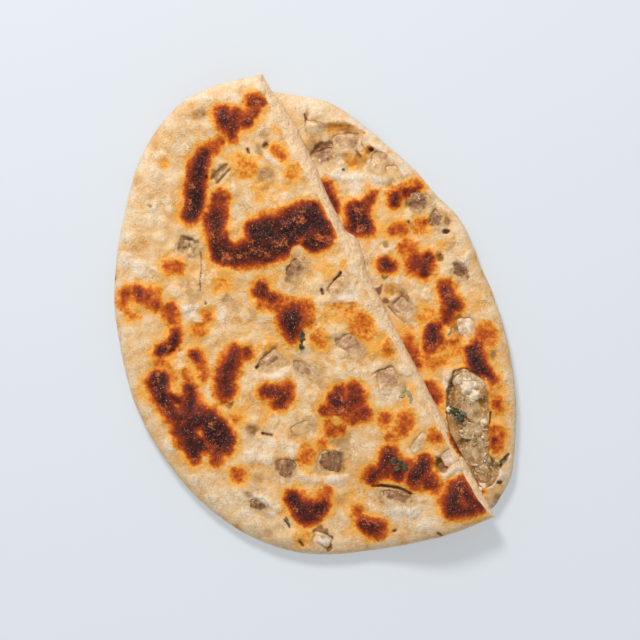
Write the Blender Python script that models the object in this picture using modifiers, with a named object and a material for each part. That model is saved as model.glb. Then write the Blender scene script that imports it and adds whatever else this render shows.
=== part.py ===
"""Onion kulcha cut in two along its length, the larger piece lapped a little over the smaller.

Metres, +Z up. The origin is under the middle of the bread, on the surface that it lies on.
The cut runs from the upper left to the lower right. A point is often given as (along, out):
how far along the cut it is from the upper tip, and how far out from the cut on the larger side.
"""

import math
import random

import bmesh
import bpy
from mathutils import Matrix, Vector, noise

MM = 0.001
BREAD = "Onion kulcha"

# Driving dimensions
CUT_LENGTH = 200 * MM
CUT_START = Vector((-21.25 * MM, 96.4 * MM))
CUT_TURN = math.radians(-62.3)
LARGE_REACH = 107.4 * MM
SMALL_REACH = 43.2 * MM
LAP = 17.3 * MM
THICKNESS = 8.0 * MM
GAP = 0.3 * MM

# The rim and the cut, seen in section
RIM_ROUND = 6.5 * MM
RIM_FOOT_ROUND = 3.0 * MM
RIM_MIDDLE = 2.6 * MM
RIM_BLUNT = 0.5 * MM
CUT_LEAN = 3.9 * MM
CUT_ROUND = 1.8 * MM
CUT_ROUND_DROP = 0.7 * MM

# Where the larger piece comes down off the smaller one to the surface
DRAPE_START = LAP + 2.5 * MM
DRAPE_END = LAP + 36 * MM

# Waves that the whole crust has: (width of one, height)
CRUST_WAVES = ((36 * MM, 0.8 * MM), (12 * MM, 0.5 * MM))

ALONG = Vector((math.cos(CUT_TURN), math.sin(CUT_TURN)))
OUT = Vector((ALONG.y, -ALONG.x))

# Outline of each piece from tip to tip, as shares of the cut's length and of the piece's reach
LARGE_ROUND = (
    (0.0, 0.0), (-0.024, 0.2), (-0.018, 0.37), (0.044, 0.573), (0.2, 0.816), (0.34, 0.94),
    (0.505, 1.0), (0.672, 0.963), (0.8, 0.854), (0.892, 0.69), (0.95, 0.45), (0.988, 0.19), (1.0, 0.0),
)
SMALL_ROUND = (
    (0.022, -0.3), (0.022, -0.1), (0.054, 0.11), (0.113, 0.44), (0.213, 0.673), (0.31, 0.843),
    (0.372, 0.91), (0.438, 1.003), (0.5, 0.998), (0.543, 0.972), (0.596, 0.957), (0.672, 0.9), (0.743, 0.811),
    (0.833, 0.645), (0.896, 0.475), (0.937, 0.352), (0.957, 0.255), (0.975, 0.124), (0.985, 0.03),
    (0.986, -0.14), (0.982, -0.3),
)

# Browned blisters: (x, y, radius, height), millimetres
LARGE_BLISTERS = (
    (-37, 76, 6, 1.0), (-49, 56, 7, 0.9), (-39, 31, 7, 0.9), (-22, 28, 8, 1.0), (-6, 33, 9, 1.1), (4, 37, 6, 0.9),
    (-10, -3, 6, 0.8), (-33, -21, 7, 0.9), (-60, -33, 6, 0.8), (-45, -44, 10, 1.2), (-16, -30, 7, 0.8),
    (10, -38, 9, 1.1), (26, -59, 6, 0.8), (41, -62, 6, 0.8), (58, -74, 8, 1.0), (-3, -76, 8, 1.0),
    (22, -83, 6, 0.8), (-67, 7, 7, 0.7),
)
SMALL_BLISTERS = (
    (17, 43, 6, 0.9), (35, 49, 6, 0.7), (28, 21, 5, 0.7), (42, 21, 6, 0.9), (53, 6, 6, 0.9),
    (47, -9, 6, 0.9), (65, -19, 7, 0.9), (73, -37, 4, 0.6), (72, -51, 4, 0.6),
)

# Diced onion that shows in the crust: (x, y, length, width, turn in degrees), millimetres
LARGE_DICE = (
    (-7.8, 17.7, 8.0, 6.2, 62), (-50.5, 27.2, 7.0, 5.4, -8), (-18.3, -18.1, 9.0, 4.8, 38),
    (-3.8, -22.0, 11.0, 4.6, -24), (14.7, -12.5, 10.5, 6.6, -42), (28.8, -25.4, 8.6, 8.2, 17),
    (9.0, 11.5, 9.0, 4.6, 42), (5.7, -58.8, 9.8, 7.9, -6), (-12.1, -61.8, 7.8, 7.4, -16),
    (2.6, -90.2, 7.0, 4.2, -20), (-23.0, -76.8, 8.0, 3.6, -27), (32.4, -72.6, 13.0, 4.4, -10),
    (41.2, -50.5, 9.0, 3.4, 58), (-5.4, -45.5, 8.0, 4.8, 24),
)
SMALL_DICE = (
    (3.8, 64.0, 7.2, 6.4, 20), (12.4, 69.4, 9.4, 7.0, 12), (-0.6, 75.4, 7.4, 4.6, -12), (25.2, 61.2, 8.0, 6.2, 72),
    (31.6, 56.2, 8.8, 4.4, -64), (41.3, 45.3, 8.2, 7.2, -20), (48.6, 38.5, 6.8, 5.0, 72),
    (36.0, 2.6, 9.0, 6.0, -38), (60.2, -4.6, 6.6, 6.6, 8), (57.7, 17.3, 5.6, 4.8, -30),
)
DICE_HEIGHT = 3.2 * MM
DICE_SUNK = 0.7 * MM
DICE_CORNER = 0.5 * MM
DICE_DIMPLE = 1.0 * MM
POCKET_ROOM = 0.4 * MM

# The onion piece that the knife went through, standing in a notch of the cut
CUT_DICE = (53.3, -56.9, 6.2, 5.8, 28)
CUT_DICE_RAISED = 3.2 * MM
CUT_DICE_TALLER = 0.4 * MM
NOTCH_REACH = 4 * MM

# Where relief starts and ends, as shares of the way out: blisters, dimples round onion, the hollow, filling bits
BLISTER_SLOPE = (0.35, 1.15)
DIMPLE_SLOPE = (0.45, 1.25)
HOLLOW_SLOPE = (0.6, 1.05)
BIT_SLOPE = (0.7, 1.2)
DIMPLE_ALONG = 0.85
DIMPLE_ACROSS = 0.95
# How far in from the rim the relief grows, and how far from the cut the smaller piece is pressed flat
RELIEF_FROM_RIM = (0.5 * MM, 5 * MM)
PRESSED_FLAT = (-1 * MM, 4 * MM)

# Where the crust of the smaller piece has torn off and the filling lies bare
TEAR_OUTLINE = (
    (54.5, -24.5), (62, -22.5), (68.2, -28.5), (69.6, -40), (69.8, -52), (71.0, -58.2), (73.6, -60.2),
    (73.8, -63.8), (71.6, -67.2), (68.6, -69.2), (65.2, -66.5), (60.8, -55.5), (56.4, -46.0), (53.2, -38.5),
    (52.6, -31),
)
TEAR_SPINE = ((61.5, -31), (68, -60))
TEAR_ROOM = 0.5 * MM
TEAR_FLOOR = 3.4 * MM
TEAR_CUTTER_TOP = 24 * MM
FILLING_SUNK = 0.9 * MM
FILLING_RELIEF = 1.8 * MM
FILLING_BITS = 38
FILLING_BIT_SIZES = (4.0 * MM, 7.6 * MM)
FILLING_BIT_LEAST = 0.5
COLLAPSED_HOLLOW = (12.5, 66.5, 17, 11, -28)
COLLAPSED_DEPTH = 1.3 * MM

# Mesh: steps along the cut and round the rim, the line in the middle as (along, out), and the rings
LARGE_STEPS = (40, 76)
SMALL_STEPS = (38, 56)
LARGE_SPINE = ((48 * MM, 50 * MM), (150 * MM, 50 * MM))
SMALL_SPINE = ((30 * MM, -10 * MM), (168 * MM, -10 * MM))
LARGE_RINGS = (0, 0.016, 0.045, 0.085, 0.14, 0.21, 0.29, 0.37, 0.45, 0.53, 0.61, 0.7, 0.79, 0.87)
SMALL_RINGS = (0, 0.04, 0.1, 0.18, 0.28, 0.39, 0.52, 0.66, 0.8, 0.92)
TEAR_RINGS = (0, 0.12, 0.26, 0.42, 0.6, 0.8)
FLAT_ENOUGH = math.radians(1.2)

# Base colour and roughness
DOUGH_LOOK = ((0.72, 0.47, 0.24), 0.6)
ONION_LOOK = ((0.5, 0.37, 0.27), 0.35)


def from_cut(along, out):
    """The plan position of a point given along the cut and out from it."""
    return CUT_START + ALONG * along + OUT * out


def out_from_cut(x, y):
    """How far out from the cut a plan position lies, on the larger side."""
    return (Vector((x, y)) - CUT_START).dot(OUT)


def smooth_step(low, high, value):
    share = min(1.0, max(0.0, (value - low) / (high - low)))
    return share * share * (3 - 2 * share)


def smooth_line(points, closed=False, steps=14):
    """A curve through the points, with the same slope on both sides of each."""
    count = len(points)
    line = []
    for i in range(count if closed else count - 1):
        if closed:
            before, start, end, after = (points[(i + k) % count] for k in (-1, 0, 1, 2))
        else:
            before, start, end, after = (points[min(max(i + k, 0), count - 1)] for k in (-1, 0, 1, 2))
        for step in range(steps):
            t = step / steps
            line.append(
                0.5 * (2 * start + (end - before) * t
                       + (2 * before - 5 * start + 4 * end - after) * t ** 2
                       + (3 * start - before - 3 * end + after) * t ** 3)
            )
    if not closed:
        line.append(points[-1].copy())
    return line


class Line:
    """A plan line that gives its point at a share of its length, and its distance from a point."""

    def __init__(self, points):
        self.points = points
        self.reached = [0.0]
        for a, b in zip(points, points[1:]):
            self.reached.append(self.reached[-1] + (b - a).length)

    def at(self, share):
        wanted = share * self.reached[-1]
        for i in range(1, len(self.points)):
            if self.reached[i] >= wanted:
                span = self.reached[i] - self.reached[i - 1]
                return self.points[i - 1].lerp(self.points[i], (wanted - self.reached[i - 1]) / span)
        return self.points[-1].copy()

    def distance(self, point):
        nearest = 1.0
        for a, b in zip(self.points, self.points[1:]):
            side = b - a
            share = min(1.0, max(0.0, (point - a).dot(side) / side.length_squared))
            nearest = min(nearest, (point - a - side * share).length)
        return nearest


def crust_waves(x, y):
    """The unevenness that the whole crust has."""
    height = 0.0
    for number, (width, size) in enumerate(CRUST_WAVES):
        height += size * noise.noise(Vector((x / width, y / width, 3.7 * number)))
    return height


def blister_relief(x, y, blisters):
    height = 0.0
    for bx, by, radius, rise in blisters:
        reach = math.hypot(x - bx * MM, y - by * MM) / (radius * MM)
        height = max(height, rise * MM * (1 - smooth_step(*BLISTER_SLOPE, reach)))
    return height


def oval_reach(x, y, oval):
    """How far out a plan position is in an oval, 1 on its edge."""
    ox, oy, half_length, half_width, turn = oval
    across = Vector((x - ox * MM, y - oy * MM))
    across.rotate(Matrix.Rotation(-math.radians(turn), 2))
    return math.hypot(across.x / (half_length * MM), across.y / (half_width * MM))


def dimple_relief(x, y, dice):
    """The crust sinks round each onion piece."""
    depth = 0.0
    for dx, dy, length, width, turn in dice:
        reach = oval_reach(x, y, (dx, dy, DIMPLE_ALONG * length, DIMPLE_ACROSS * width, turn))
        depth = max(depth, DICE_DIMPLE * (1 - smooth_step(*DIMPLE_SLOPE, reach)))
    return -depth


class Piece:
    """One of the two pieces: its plan, and the heights of its crust and its underside."""

    def __init__(self, name, round_points, side, cut_out, blisters, dice, steps, spine, ring_shares):
        self.name, self.side, self.blisters, self.dice = name, side, blisters, dice
        self.cutters = f"{name} cutters"
        self.steps, self.spine, self.ring_shares = steps, spine, ring_shares
        reach = LARGE_REACH if side > 0 else -SMALL_REACH
        outline = [from_cut(a * CUT_LENGTH, b * reach) for a, b in round_points]
        self.round = Line(smooth_line(outline))
        self.cut_out = cut_out

    def lift(self, x, y):
        """How high the underside is held by what lies under it."""
        if self.side < 0:
            return 0.0
        return (THICKNESS + GAP) * (1 - smooth_step(DRAPE_START, DRAPE_END, out_from_cut(x, y)))

    def crust(self, x, y):
        """Height of the upper surface."""
        rim = self.round.distance(Vector((x, y)))
        rise = math.sqrt(1 - (1 - min(1.0, rim / RIM_ROUND)) ** 2)
        height = RIM_MIDDLE + RIM_BLUNT + (THICKNESS - RIM_MIDDLE - RIM_BLUNT) * rise
        inside = self.side * (out_from_cut(x, y) - self.cut_out)
        height -= CUT_ROUND_DROP * (1 - smooth_step(CUT_LEAN, CUT_LEAN + CUT_ROUND, inside))
        relief = crust_waves(x, y) + blister_relief(x, y, self.blisters) + dimple_relief(x, y, self.dice)
        if self.side < 0:
            # Pressed flat where the larger piece lies on it.
            relief = relief * smooth_step(*PRESSED_FLAT, -out_from_cut(x, y))
            hollow = oval_reach(x, y, COLLAPSED_HOLLOW)
            relief -= COLLAPSED_DEPTH * (1 - smooth_step(*HOLLOW_SLOPE, hollow))
        return self.lift(x, y) + height + relief * smooth_step(*RELIEF_FROM_RIM, rim)

    def underside(self, x, y):
        """Height of the lower surface."""
        rim = self.round.distance(Vector((x, y)))
        rise = math.sqrt(1 - (1 - min(1.0, rim / RIM_FOOT_ROUND)) ** 2)
        return self.lift(x, y) + (RIM_MIDDLE - RIM_BLUNT) * (1 - rise)

    def edge(self, lean):
        """The closed edge in plan, with the cut moved in by the lean of its face."""
        first, last = self.round.at(0), self.round.at(1)
        cut_steps, round_steps = self.steps
        points = [self.round.at(i / round_steps) for i in range(round_steps)]
        for i in range(cut_steps):
            share = i / cut_steps
            from_tip = min(share, 1 - share) * (last - first).length
            shift = lean * smooth_step(0, 3 * CUT_LEAN, from_tip)
            points.append(last.lerp(first, share) + OUT * self.side * shift)
        return points


def rings_inside(edge, spine, shares):
    """Closed lines one inside another, each point of the edge moving in to the spine."""
    first, last = spine
    side = last - first
    rings = [[] for _ in shares]
    for point in edge:
        along = min(1.0, max(0.0, (point - first).dot(side) / side.length_squared))
        for ring, share in zip(rings, shares):
            ring.append(point.lerp(first + side * along, share))
    return rings


def raised(rings, height_of):
    """Plan lines given their heights."""
    return [[Vector((x, y, height_of(x, y))) for x, y in line] for line in rings]


def lofted_body(name, sections, collection):
    """A closed body: a circle's edge drawn out through closed lines in space, with both ends filled."""
    body = bmesh.new()
    step = body.verts.layers.int.new("step")
    circle = bmesh.ops.create_circle(body, segments=len(sections[0]), radius=1)
    for number, (vertex, place) in enumerate(zip(circle["verts"], sections[0])):
        vertex[step], vertex.co = number, place
    loop = body.edges[:]
    bmesh.ops.edgeloop_fill(body, edges=loop)
    for section in sections[1:]:
        drawn = bmesh.ops.extrude_edge_only(body, edges=loop)["geom"]
        moved = {item for item in drawn if isinstance(item, bmesh.types.BMVert)}
        for vertex in moved:
            vertex.co = section[vertex[step]]
        loop = [item for item in drawn if isinstance(item, bmesh.types.BMEdge) and moved.issuperset(item.verts)]
    bmesh.ops.edgeloop_fill(body, edges=loop)
    bmesh.ops.dissolve_limit(body, angle_limit=FLAT_ENOUGH, verts=body.verts[:], edges=body.edges[:])
    bmesh.ops.triangulate(body, faces=body.faces[:])
    bmesh.ops.recalc_face_normals(body, faces=body.faces[:])
    mesh = bpy.data.meshes.new(name)
    body.to_mesh(mesh)
    body.free()
    return add_object(name, mesh, collection)


def bread_body(piece):
    """One of the two pieces, from the middle of its underside round the rim to the middle of its crust."""
    spine = [from_cut(*end) for end in piece.spine]
    lower = rings_inside(piece.edge(0.0), spine, piece.ring_shares[::2])
    upper = rings_inside(piece.edge(CUT_LEAN), spine, piece.ring_shares)
    sections = raised(lower[::-1], piece.underside) + raised(upper, piece.crust)
    return lofted_body(piece.name, sections, BREAD)


def add_object(name, mesh, collection):
    made = bpy.data.objects.new(name, mesh)
    bpy.data.collections[collection].objects.link(made)
    return made


def block(name, centre, size, turn, corner, collection):
    """A box with rounded edges, its size along its own axes."""
    bpy.ops.mesh.primitive_cube_add(size=1, location=centre, rotation=(0, 0, math.radians(turn)))
    made = bpy.context.object
    made.name = name
    made.scale = size
    bpy.ops.object.transform_apply(location=False, rotation=False, scale=True)
    for owner in list(made.users_collection):
        owner.objects.unlink(made)
    bpy.data.collections[collection].objects.link(made)
    if corner:
        bevel = made.modifiers.new("Rounded edges", "BEVEL")
        bevel.width, bevel.segments, bevel.limit_method = corner, 1, "NONE"
    return made


def dice_and_pockets(piece):
    """Each onion piece, and the pocket that it lies in."""
    made = []
    for number, (x, y, length, width, turn) in enumerate(piece.dice, 1):
        centre_x, centre_y = x * MM, y * MM
        top = piece.crust(centre_x, centre_y) - DICE_SUNK
        foot = top - DICE_HEIGHT
        size = (length * MM, width * MM, DICE_HEIGHT)
        dice = block(
            f"{piece.name}_onion_{number:02d}", (centre_x, centre_y, top - DICE_HEIGHT / 2),
            size, turn, DICE_CORNER, BREAD,
        )
        made.append(dice)
        room = 2 * POCKET_ROOM
        depth = THICKNESS
        block(
            f"{piece.name} pocket {number}", (centre_x, centre_y, foot - GAP + depth / 2),
            (size[0] + room, size[1] + room, depth), turn, 0, piece.cutters,
        )
    return made


def cut_dice(piece):
    """The onion piece in the cut, with the notch that it stands in."""
    x, y, length, width, turn = CUT_DICE
    centre_x, centre_y = x * MM, y * MM
    foot = piece.lift(centre_x, centre_y) + CUT_DICE_RAISED
    top = foot + DICE_HEIGHT + CUT_DICE_TALLER
    made = block(
        f"{piece.name}_onion_in_cut", (centre_x, centre_y, (foot + top) / 2),
        (length * MM, width * MM, top - foot), turn, DICE_CORNER, BREAD,
    )
    turned = Vector((math.cos(math.radians(turn)), math.sin(math.radians(turn))))
    middle = Vector((centre_x, centre_y)) + turned * NOTCH_REACH / 2
    block(
        f"{piece.name} notch", (middle.x, middle.y, foot - GAP + THICKNESS / 2),
        (length * MM + NOTCH_REACH + 2 * POCKET_ROOM, width * MM + 2 * POCKET_ROOM, THICKNESS), turn, 0,
        piece.cutters,
    )
    return made


def tear_line(inset):
    """The torn edge of the crust in plan, moved in by some way."""
    line = smooth_line([Vector((x, y)) * MM for x, y in TEAR_OUTLINE], closed=True, steps=4)
    moved = []
    for i, point in enumerate(line):
        # The outline runs clockwise, so inside is to its right.
        ahead = (line[(i + 1) % len(line)] - line[i - 1]).normalized()
        moved.append(point + Vector((ahead.y, -ahead.x)) * inset)
    return moved


def bared_filling(piece):
    """The filling in the tear: a heap of diced onion lying every way, stuck in one lump."""
    draw = random.Random(11)
    spine = [Vector(end) * MM for end in TEAR_SPINE]
    rings = rings_inside(tear_line(TEAR_ROOM), spine, TEAR_RINGS)
    spots = []
    for number in range(FILLING_BITS):
        line = rings[(3 * number + 1) % len(rings)]
        x, y = line[(17 * number) % len(line)]
        length, width = (draw.uniform(*FILLING_BIT_SIZES) for _ in range(2))
        spots.append((x / MM, y / MM, length / MM / 2, width / MM / 2, draw.uniform(0, 180),
                      draw.uniform(FILLING_BIT_LEAST, 1)))

    def top_of(x, y):
        """Each bit stands up as a little block with a rounded top."""
        rise = 0.0
        for *oval, share in spots:
            rise = max(rise, share * (1 - smooth_step(*BIT_SLOPE, oval_reach(x, y, oval))))
        return THICKNESS - FILLING_SUNK - FILLING_RELIEF * (1 - rise)

    foot = raised(rings[:1], lambda x, y: TEAR_FLOOR + GAP)
    tear = [tear_line(0.0)]
    sides = raised(tear, lambda x, y: TEAR_FLOOR) + raised(tear, lambda x, y: TEAR_CUTTER_TOP)
    lofted_body(f"{piece.name} tear", sides, piece.cutters)
    return lofted_body("bared_filling", foot + raised(rings, top_of), BREAD)


def cut_out(body, cutters):
    """Takes a collection of cutters out of a body."""
    for cutter in bpy.data.collections[cutters].objects:
        cutter.hide_render, cutter.display_type = True, "WIRE"
    cut = body.modifiers.new("Pockets", "BOOLEAN")
    cut.operation, cut.operand_type = "DIFFERENCE", "COLLECTION"
    cut.collection = bpy.data.collections[cutters]


def plain_material(name, colour, roughness):
    made = bpy.data.materials.new(name)
    made.use_nodes = True
    shader = made.node_tree.nodes["Principled BSDF"]
    shader.inputs["Base Color"].default_value = (*colour, 1)
    shader.inputs["Roughness"].default_value = roughness
    shader.inputs["Metallic"].default_value = 0
    return made


def main():
    for old in list(bpy.data.objects):
        bpy.data.objects.remove(old)

    crust = plain_material("Baked dough", *DOUGH_LOOK)
    onion = plain_material("Cooked onion", *ONION_LOOK)
    large = Piece(
        "large_piece", LARGE_ROUND, 1, 0.0, LARGE_BLISTERS, LARGE_DICE, LARGE_STEPS, LARGE_SPINE, LARGE_RINGS
    )
    small = Piece(
        "small_piece", SMALL_ROUND, -1, LAP, SMALL_BLISTERS, SMALL_DICE, SMALL_STEPS, SMALL_SPINE, SMALL_RINGS
    )
    for name in (BREAD, large.cutters, small.cutters):
        bpy.context.scene.collection.children.link(bpy.data.collections.new(name))

    bites = []
    for piece in (large, small):
        body = bread_body(piece)
        body.data.materials.append(crust)
        bites += dice_and_pockets(piece)
        if piece is large:
            bites.append(cut_dice(piece))
        else:
            bites.append(bared_filling(piece))
        cut_out(body, piece.cutters)
    for bite in bites:
        bite.data.materials.clear()
        bite.data.materials.append(onion)


main()
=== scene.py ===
import math
import random

import bmesh
import bpy
import numpy as np
from mathutils import Euler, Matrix, Vector, kdtree, noise
from mathutils.geometry import delaunay_2d_cdt


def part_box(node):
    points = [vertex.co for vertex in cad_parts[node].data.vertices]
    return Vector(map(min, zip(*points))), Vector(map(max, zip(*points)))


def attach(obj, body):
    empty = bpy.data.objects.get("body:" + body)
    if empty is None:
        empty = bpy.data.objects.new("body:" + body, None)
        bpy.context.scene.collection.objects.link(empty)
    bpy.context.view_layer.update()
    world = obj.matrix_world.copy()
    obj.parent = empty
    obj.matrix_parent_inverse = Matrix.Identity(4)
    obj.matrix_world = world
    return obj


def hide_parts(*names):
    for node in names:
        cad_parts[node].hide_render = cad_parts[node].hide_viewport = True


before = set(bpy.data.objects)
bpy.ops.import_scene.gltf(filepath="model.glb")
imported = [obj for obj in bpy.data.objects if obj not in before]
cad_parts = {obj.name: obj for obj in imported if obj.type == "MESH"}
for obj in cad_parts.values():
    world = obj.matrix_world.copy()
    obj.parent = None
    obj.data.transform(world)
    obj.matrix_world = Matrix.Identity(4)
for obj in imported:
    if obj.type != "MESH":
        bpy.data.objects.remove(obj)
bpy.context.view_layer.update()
print("frame loaded,", len(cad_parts), "nodes")

mm = 0.001  # lengths below are in millimetres, and meshes are made in metres

photo = {
    "middle": (315.5, 315.0),  # the pixel over the origin
    "pixel": 0.4024,  # size of a pixel at the level of the rim
    "frame": 640,
    "centre": (1.8, -2.0),  # the place under the camera
    "level": 3.0,
    "distance": 1400.0,  # from the camera down to that level
    "shift": (0.25, -1.0),  # from the marks, as measured, to where they are, in millimetres
}

bread = {
    "cutLength": 200.0,
    "cutStart": (-21.25, 96.4),
    "cutTurn": -62.3,  # degrees, from upper left to lower right
    "thickness": 8.0,
    "gap": 0.3,
    "rimRound": 6.5,
    "rimFootRound": 3.0,
    "rimMiddle": 2.6,
    "rimBlunt": 0.5,
    "edgeRound": 1.8,  # rounding of the crust where the knife went in
    "edgeDrop": 0.7,
    "drape": (19.8, 53.3),  # where the large piece comes down off the small one, out from the cut
    "waves": ((36, 0.8), (12, 0.5)),  # width of one and its height
    "waveStep": 3.7,
    "creaseTurn": 35,  # which way the creases of the crust run, in degrees
    "creaseStretch": 1.8,  # how long they are for their width
    "creaseDepth": 0.1,
    "gapDepth": 0.8,  # how far the crust drops beside the onion in its windows
    "thinnest": 1.6,
}


# Numbers and lines

def smoothStep(low, high, value):
    share = np.clip((value - low) / (high - low), 0, 1)
    return share * share * (3 - 2 * share)


def smoothMax(a, b, blend):
    share = np.clip(blend - np.abs(a - b), 0, None) / blend
    return np.maximum(a, b) + share * share * blend / 4


def smoothMin(a, b, blend):
    return -smoothMax(-a, -b, blend)


def heading(degrees):
    return np.array([math.cos(math.radians(degrees)), math.sin(math.radians(degrees))])


def turned(xy, degrees):
    c, s = heading(degrees)
    return xy @ np.array([[c, s], [-s, c]])


def fromPhoto(px, py):
    middleX, middleY = photo["middle"]
    return (px - middleX) * photo["pixel"], (middleY - py) * photo["pixel"]


def asSeen(xy, height):
    # where a raised place appears to be from the camera, which looks straight down
    centre = np.array(photo["centre"])
    return centre + (xy - centre) * (photo["distance"] / (photo["distance"] + photo["level"] - height))[:, None]


def photoLine(pixels):
    return np.array([fromPhoto(px, py) for px, py in pixels])


cutStart = np.array(bread["cutStart"])
alongCut = heading(bread["cutTurn"])
outOfCut = np.array([alongCut[1], -alongCut[0]])


def fromCut(along, out):
    # plan place from how far along the cut and how far out from it, towards the large piece
    return cutStart + np.outer(along, alongCut) + np.outer(out, outOfCut)


def toCut(xy):
    away = xy - cutStart
    return away @ alongCut, away @ outOfCut


def throughPoints(points, steps=14, closed=False):
    # a smooth line through the points
    count = len(points)
    line = []
    for i in range(count if closed else count - 1):
        near = (i + k for k in (-1, 0, 1, 2))
        before, start, end, after = (points[k % count if closed else min(max(k, 0), count - 1)] for k in near)
        for t in np.arange(steps) / steps:
            line.append(0.5 * (2 * start + (end - before) * t + (2 * before - 5 * start + 4 * end - after) * t ** 2
                               + (3 * start - before - 3 * end + after) * t ** 3))
    if not closed:
        line.append(points[-1])
    return np.array(line)


def ringed(line):
    # a closed line with its first point again at its end
    return np.concatenate([line, line[:1]])


def evenly(line, spacing):
    # the same line with points a set way apart
    steps = np.hypot(*np.diff(line, axis=0).T)
    reached = np.concatenate([[0], np.cumsum(steps)])
    wanted = np.linspace(0, reached[-1], max(2, round(reached[-1] / spacing) + 1))
    return np.stack([np.interp(wanted, reached, line[:, k]) for k in (0, 1)], axis=1)


def insideNormals(line):
    # unit vectors across a line, to its left
    ahead = np.gradient(line, axis=0)
    across = np.stack([-ahead[:, 1], ahead[:, 0]], axis=1)
    return across / np.hypot(*across.T)[:, None]


def nearest(xy, line):
    tree = kdtree.KDTree(len(line))
    for i, (x, y) in enumerate(line.tolist()):
        tree.insert((x, y, 0), i)
    tree.balance()
    return np.array([tree.find((x, y, 0))[2] for x, y in xy.tolist()])


def lineDistance(xy, line):
    # true distance to a line of a few points
    best = np.full(len(xy), 1e3)
    for a, b in zip(line, line[1:]):
        side = b - a
        share = np.clip((xy - a) @ side / (side @ side), 0, 1)
        best = np.minimum(best, np.hypot(*(xy - a - share[:, None] * side).T))
    return best


def grain(xy, width, seed, octaves=1):
    # smooth unevenness between -1 and 1
    scaled = (xy / width).tolist()
    if octaves == 1:
        return np.array([noise.noise(Vector((x, y, seed))) for x, y in scaled])
    return np.array([noise.fractal(Vector((x, y, seed)), 0.9, 2.1, octaves) for x, y in scaled])


# layers of unevenness: height, width and seed
unevenLayers = {
    "spots": ((0.5, 3.2, 81), (0.3, 1.2, 83)),
    "outline": ((0.2, 7, 5.1), (0.12, 2.2, 8.3)),
    "pits": ((0.4, 2.4, 85), (0.25, 1.0, 87)),
    "tear": ((0.5, 2.0, 3.3), (0.3, 0.9, 4.1)),
    "crust": ((0.45, 4.8, 21), (0.13, 1.8, 23), (0.06, 0.9, 27)),
    "char": ((0.14, 0.8, 31), (0.1, 1.5, 33)),
    "cutEdge": ((0.3, 5, 41), (0.14, 1.3, 43)),
    "cutFace": ((0.3, 2.2, 51), (0.16, 0.9, 53)),
    "filling": ((0.5, 3.2, 71), (0.3, 1.4, 73)),
}


def uneven(xy, label):
    return sum(height * grain(xy, width, seed) for height, width, seed in unevenLayers[label])


def ovalReach(xy, centre, halves, turn, corner=2.0):
    # 1 on the edge of an oval, or of a rounded square with a higher corner
    local = np.abs(turned(xy - np.array(centre), -turn) / np.array(halves))
    return (local[:, 0] ** corner + local[:, 1] ** corner) ** (1 / corner)


def roundedSquare(count, halves, corner):
    angles = np.linspace(0, 2 * math.pi, count, endpoint=False)
    across, up = np.cos(angles), np.sin(angles)
    shape = (np.abs(across) ** corner + np.abs(up) ** corner) ** (-1 / corner)
    return np.stack([across * shape * halves[0], up * shape * halves[1]], axis=1)


def strokeDepth(xy, beads):
    # how far inside a chain of round beads a place is, below 0 outside; beads are photo pixels
    spots = [(np.array(fromPhoto(px, py)), r * photo["pixel"]) for px, py, r in beads]
    depth = np.full(len(xy), -1e3)
    for (a, wide), (b, narrow) in zip(spots, spots[1:] or spots):
        side = b - a
        share = np.clip((xy - a) @ side / max(side @ side, 1e-9), 0, 1)
        away = np.hypot(*(xy - a - share[:, None] * side).T)
        depth = np.maximum(depth, wide + (narrow - wide) * share - away)
    return depth


def spotReach(xy, px, py, radius):
    # 1 at so many pixels from a photo pixel
    return np.hypot(*(xy - np.array(fromPhoto(px, py))).T) / (radius * photo["pixel"])


def softSpots(xy, spots):
    # strongest of some soft round spots: photo pixel, radius in pixels, strength
    best = np.zeros(len(xy))
    wavering = uneven(xy, "spots")
    for px, py, radius, strength in spots:
        reach = spotReach(xy, px, py, radius) + wavering
        best = np.maximum(best, strength * (1 - smoothStep(0.3, 1.1, reach)))
    return best


# Meshes

def inScene(name, data):
    made = bpy.data.objects.new(name, data)
    bpy.context.scene.collection.objects.link(made)
    return made


def newObject(name, points, faces, material, attributes):
    mesh = bpy.data.meshes.new(name)
    mesh.from_pydata((np.asarray(points) * mm).tolist(), [], faces)
    for label, values in attributes.items():
        values = np.asarray(values, np.float32)
        kind = "FLOAT" if values.ndim == 1 else "FLOAT_VECTOR"
        layer = mesh.attributes.new(label, kind, "POINT")
        layer.data.foreach_set("value" if kind == "FLOAT" else "vector", values.ravel())
    body = bmesh.new()
    body.from_mesh(mesh)
    bmesh.ops.triangulate(body, faces=[face for face in body.faces if len(face.verts) > 4])
    bmesh.ops.delete(body, geom=[point for point in body.verts if not point.link_faces], context="VERTS")
    bmesh.ops.recalc_face_normals(body, faces=body.faces[:])
    body.to_mesh(mesh)
    body.free()
    mesh.polygons.foreach_set("use_smooth", [True] * len(mesh.polygons))
    mesh.materials.append(material)
    return inScene(name, mesh)


def delaunay(points, boundary):
    # triangles between points, inside the closed line that the first of them make
    edges = [(i, (i + 1) % boundary) for i in range(boundary)]
    found = delaunay_2d_cdt([Vector(p) for p in points.tolist()], edges, [], 1, 1e-7)
    first = {source: number for number, sources in enumerate(found[3]) for source in sources[:1]}
    places = np.array([tuple(p) for p in found[0]])
    loop = [first[i] for i in range(boundary)]
    return places, [list(face) for face in found[2]], loop


def lattice(low, high, spacing, seed):
    # a jittered net of points in a rectangle
    draw = np.random.default_rng(seed)
    across = np.arange(low[0], high[0], spacing)
    up = np.arange(low[1], high[1], spacing * 0.866)
    x, y = np.meshgrid(across, up)
    x[1::2] += spacing / 2
    points = np.stack([x.ravel(), y.ravel()], axis=1)
    return points + draw.uniform(-0.17, 0.17, points.shape) * spacing


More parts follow.
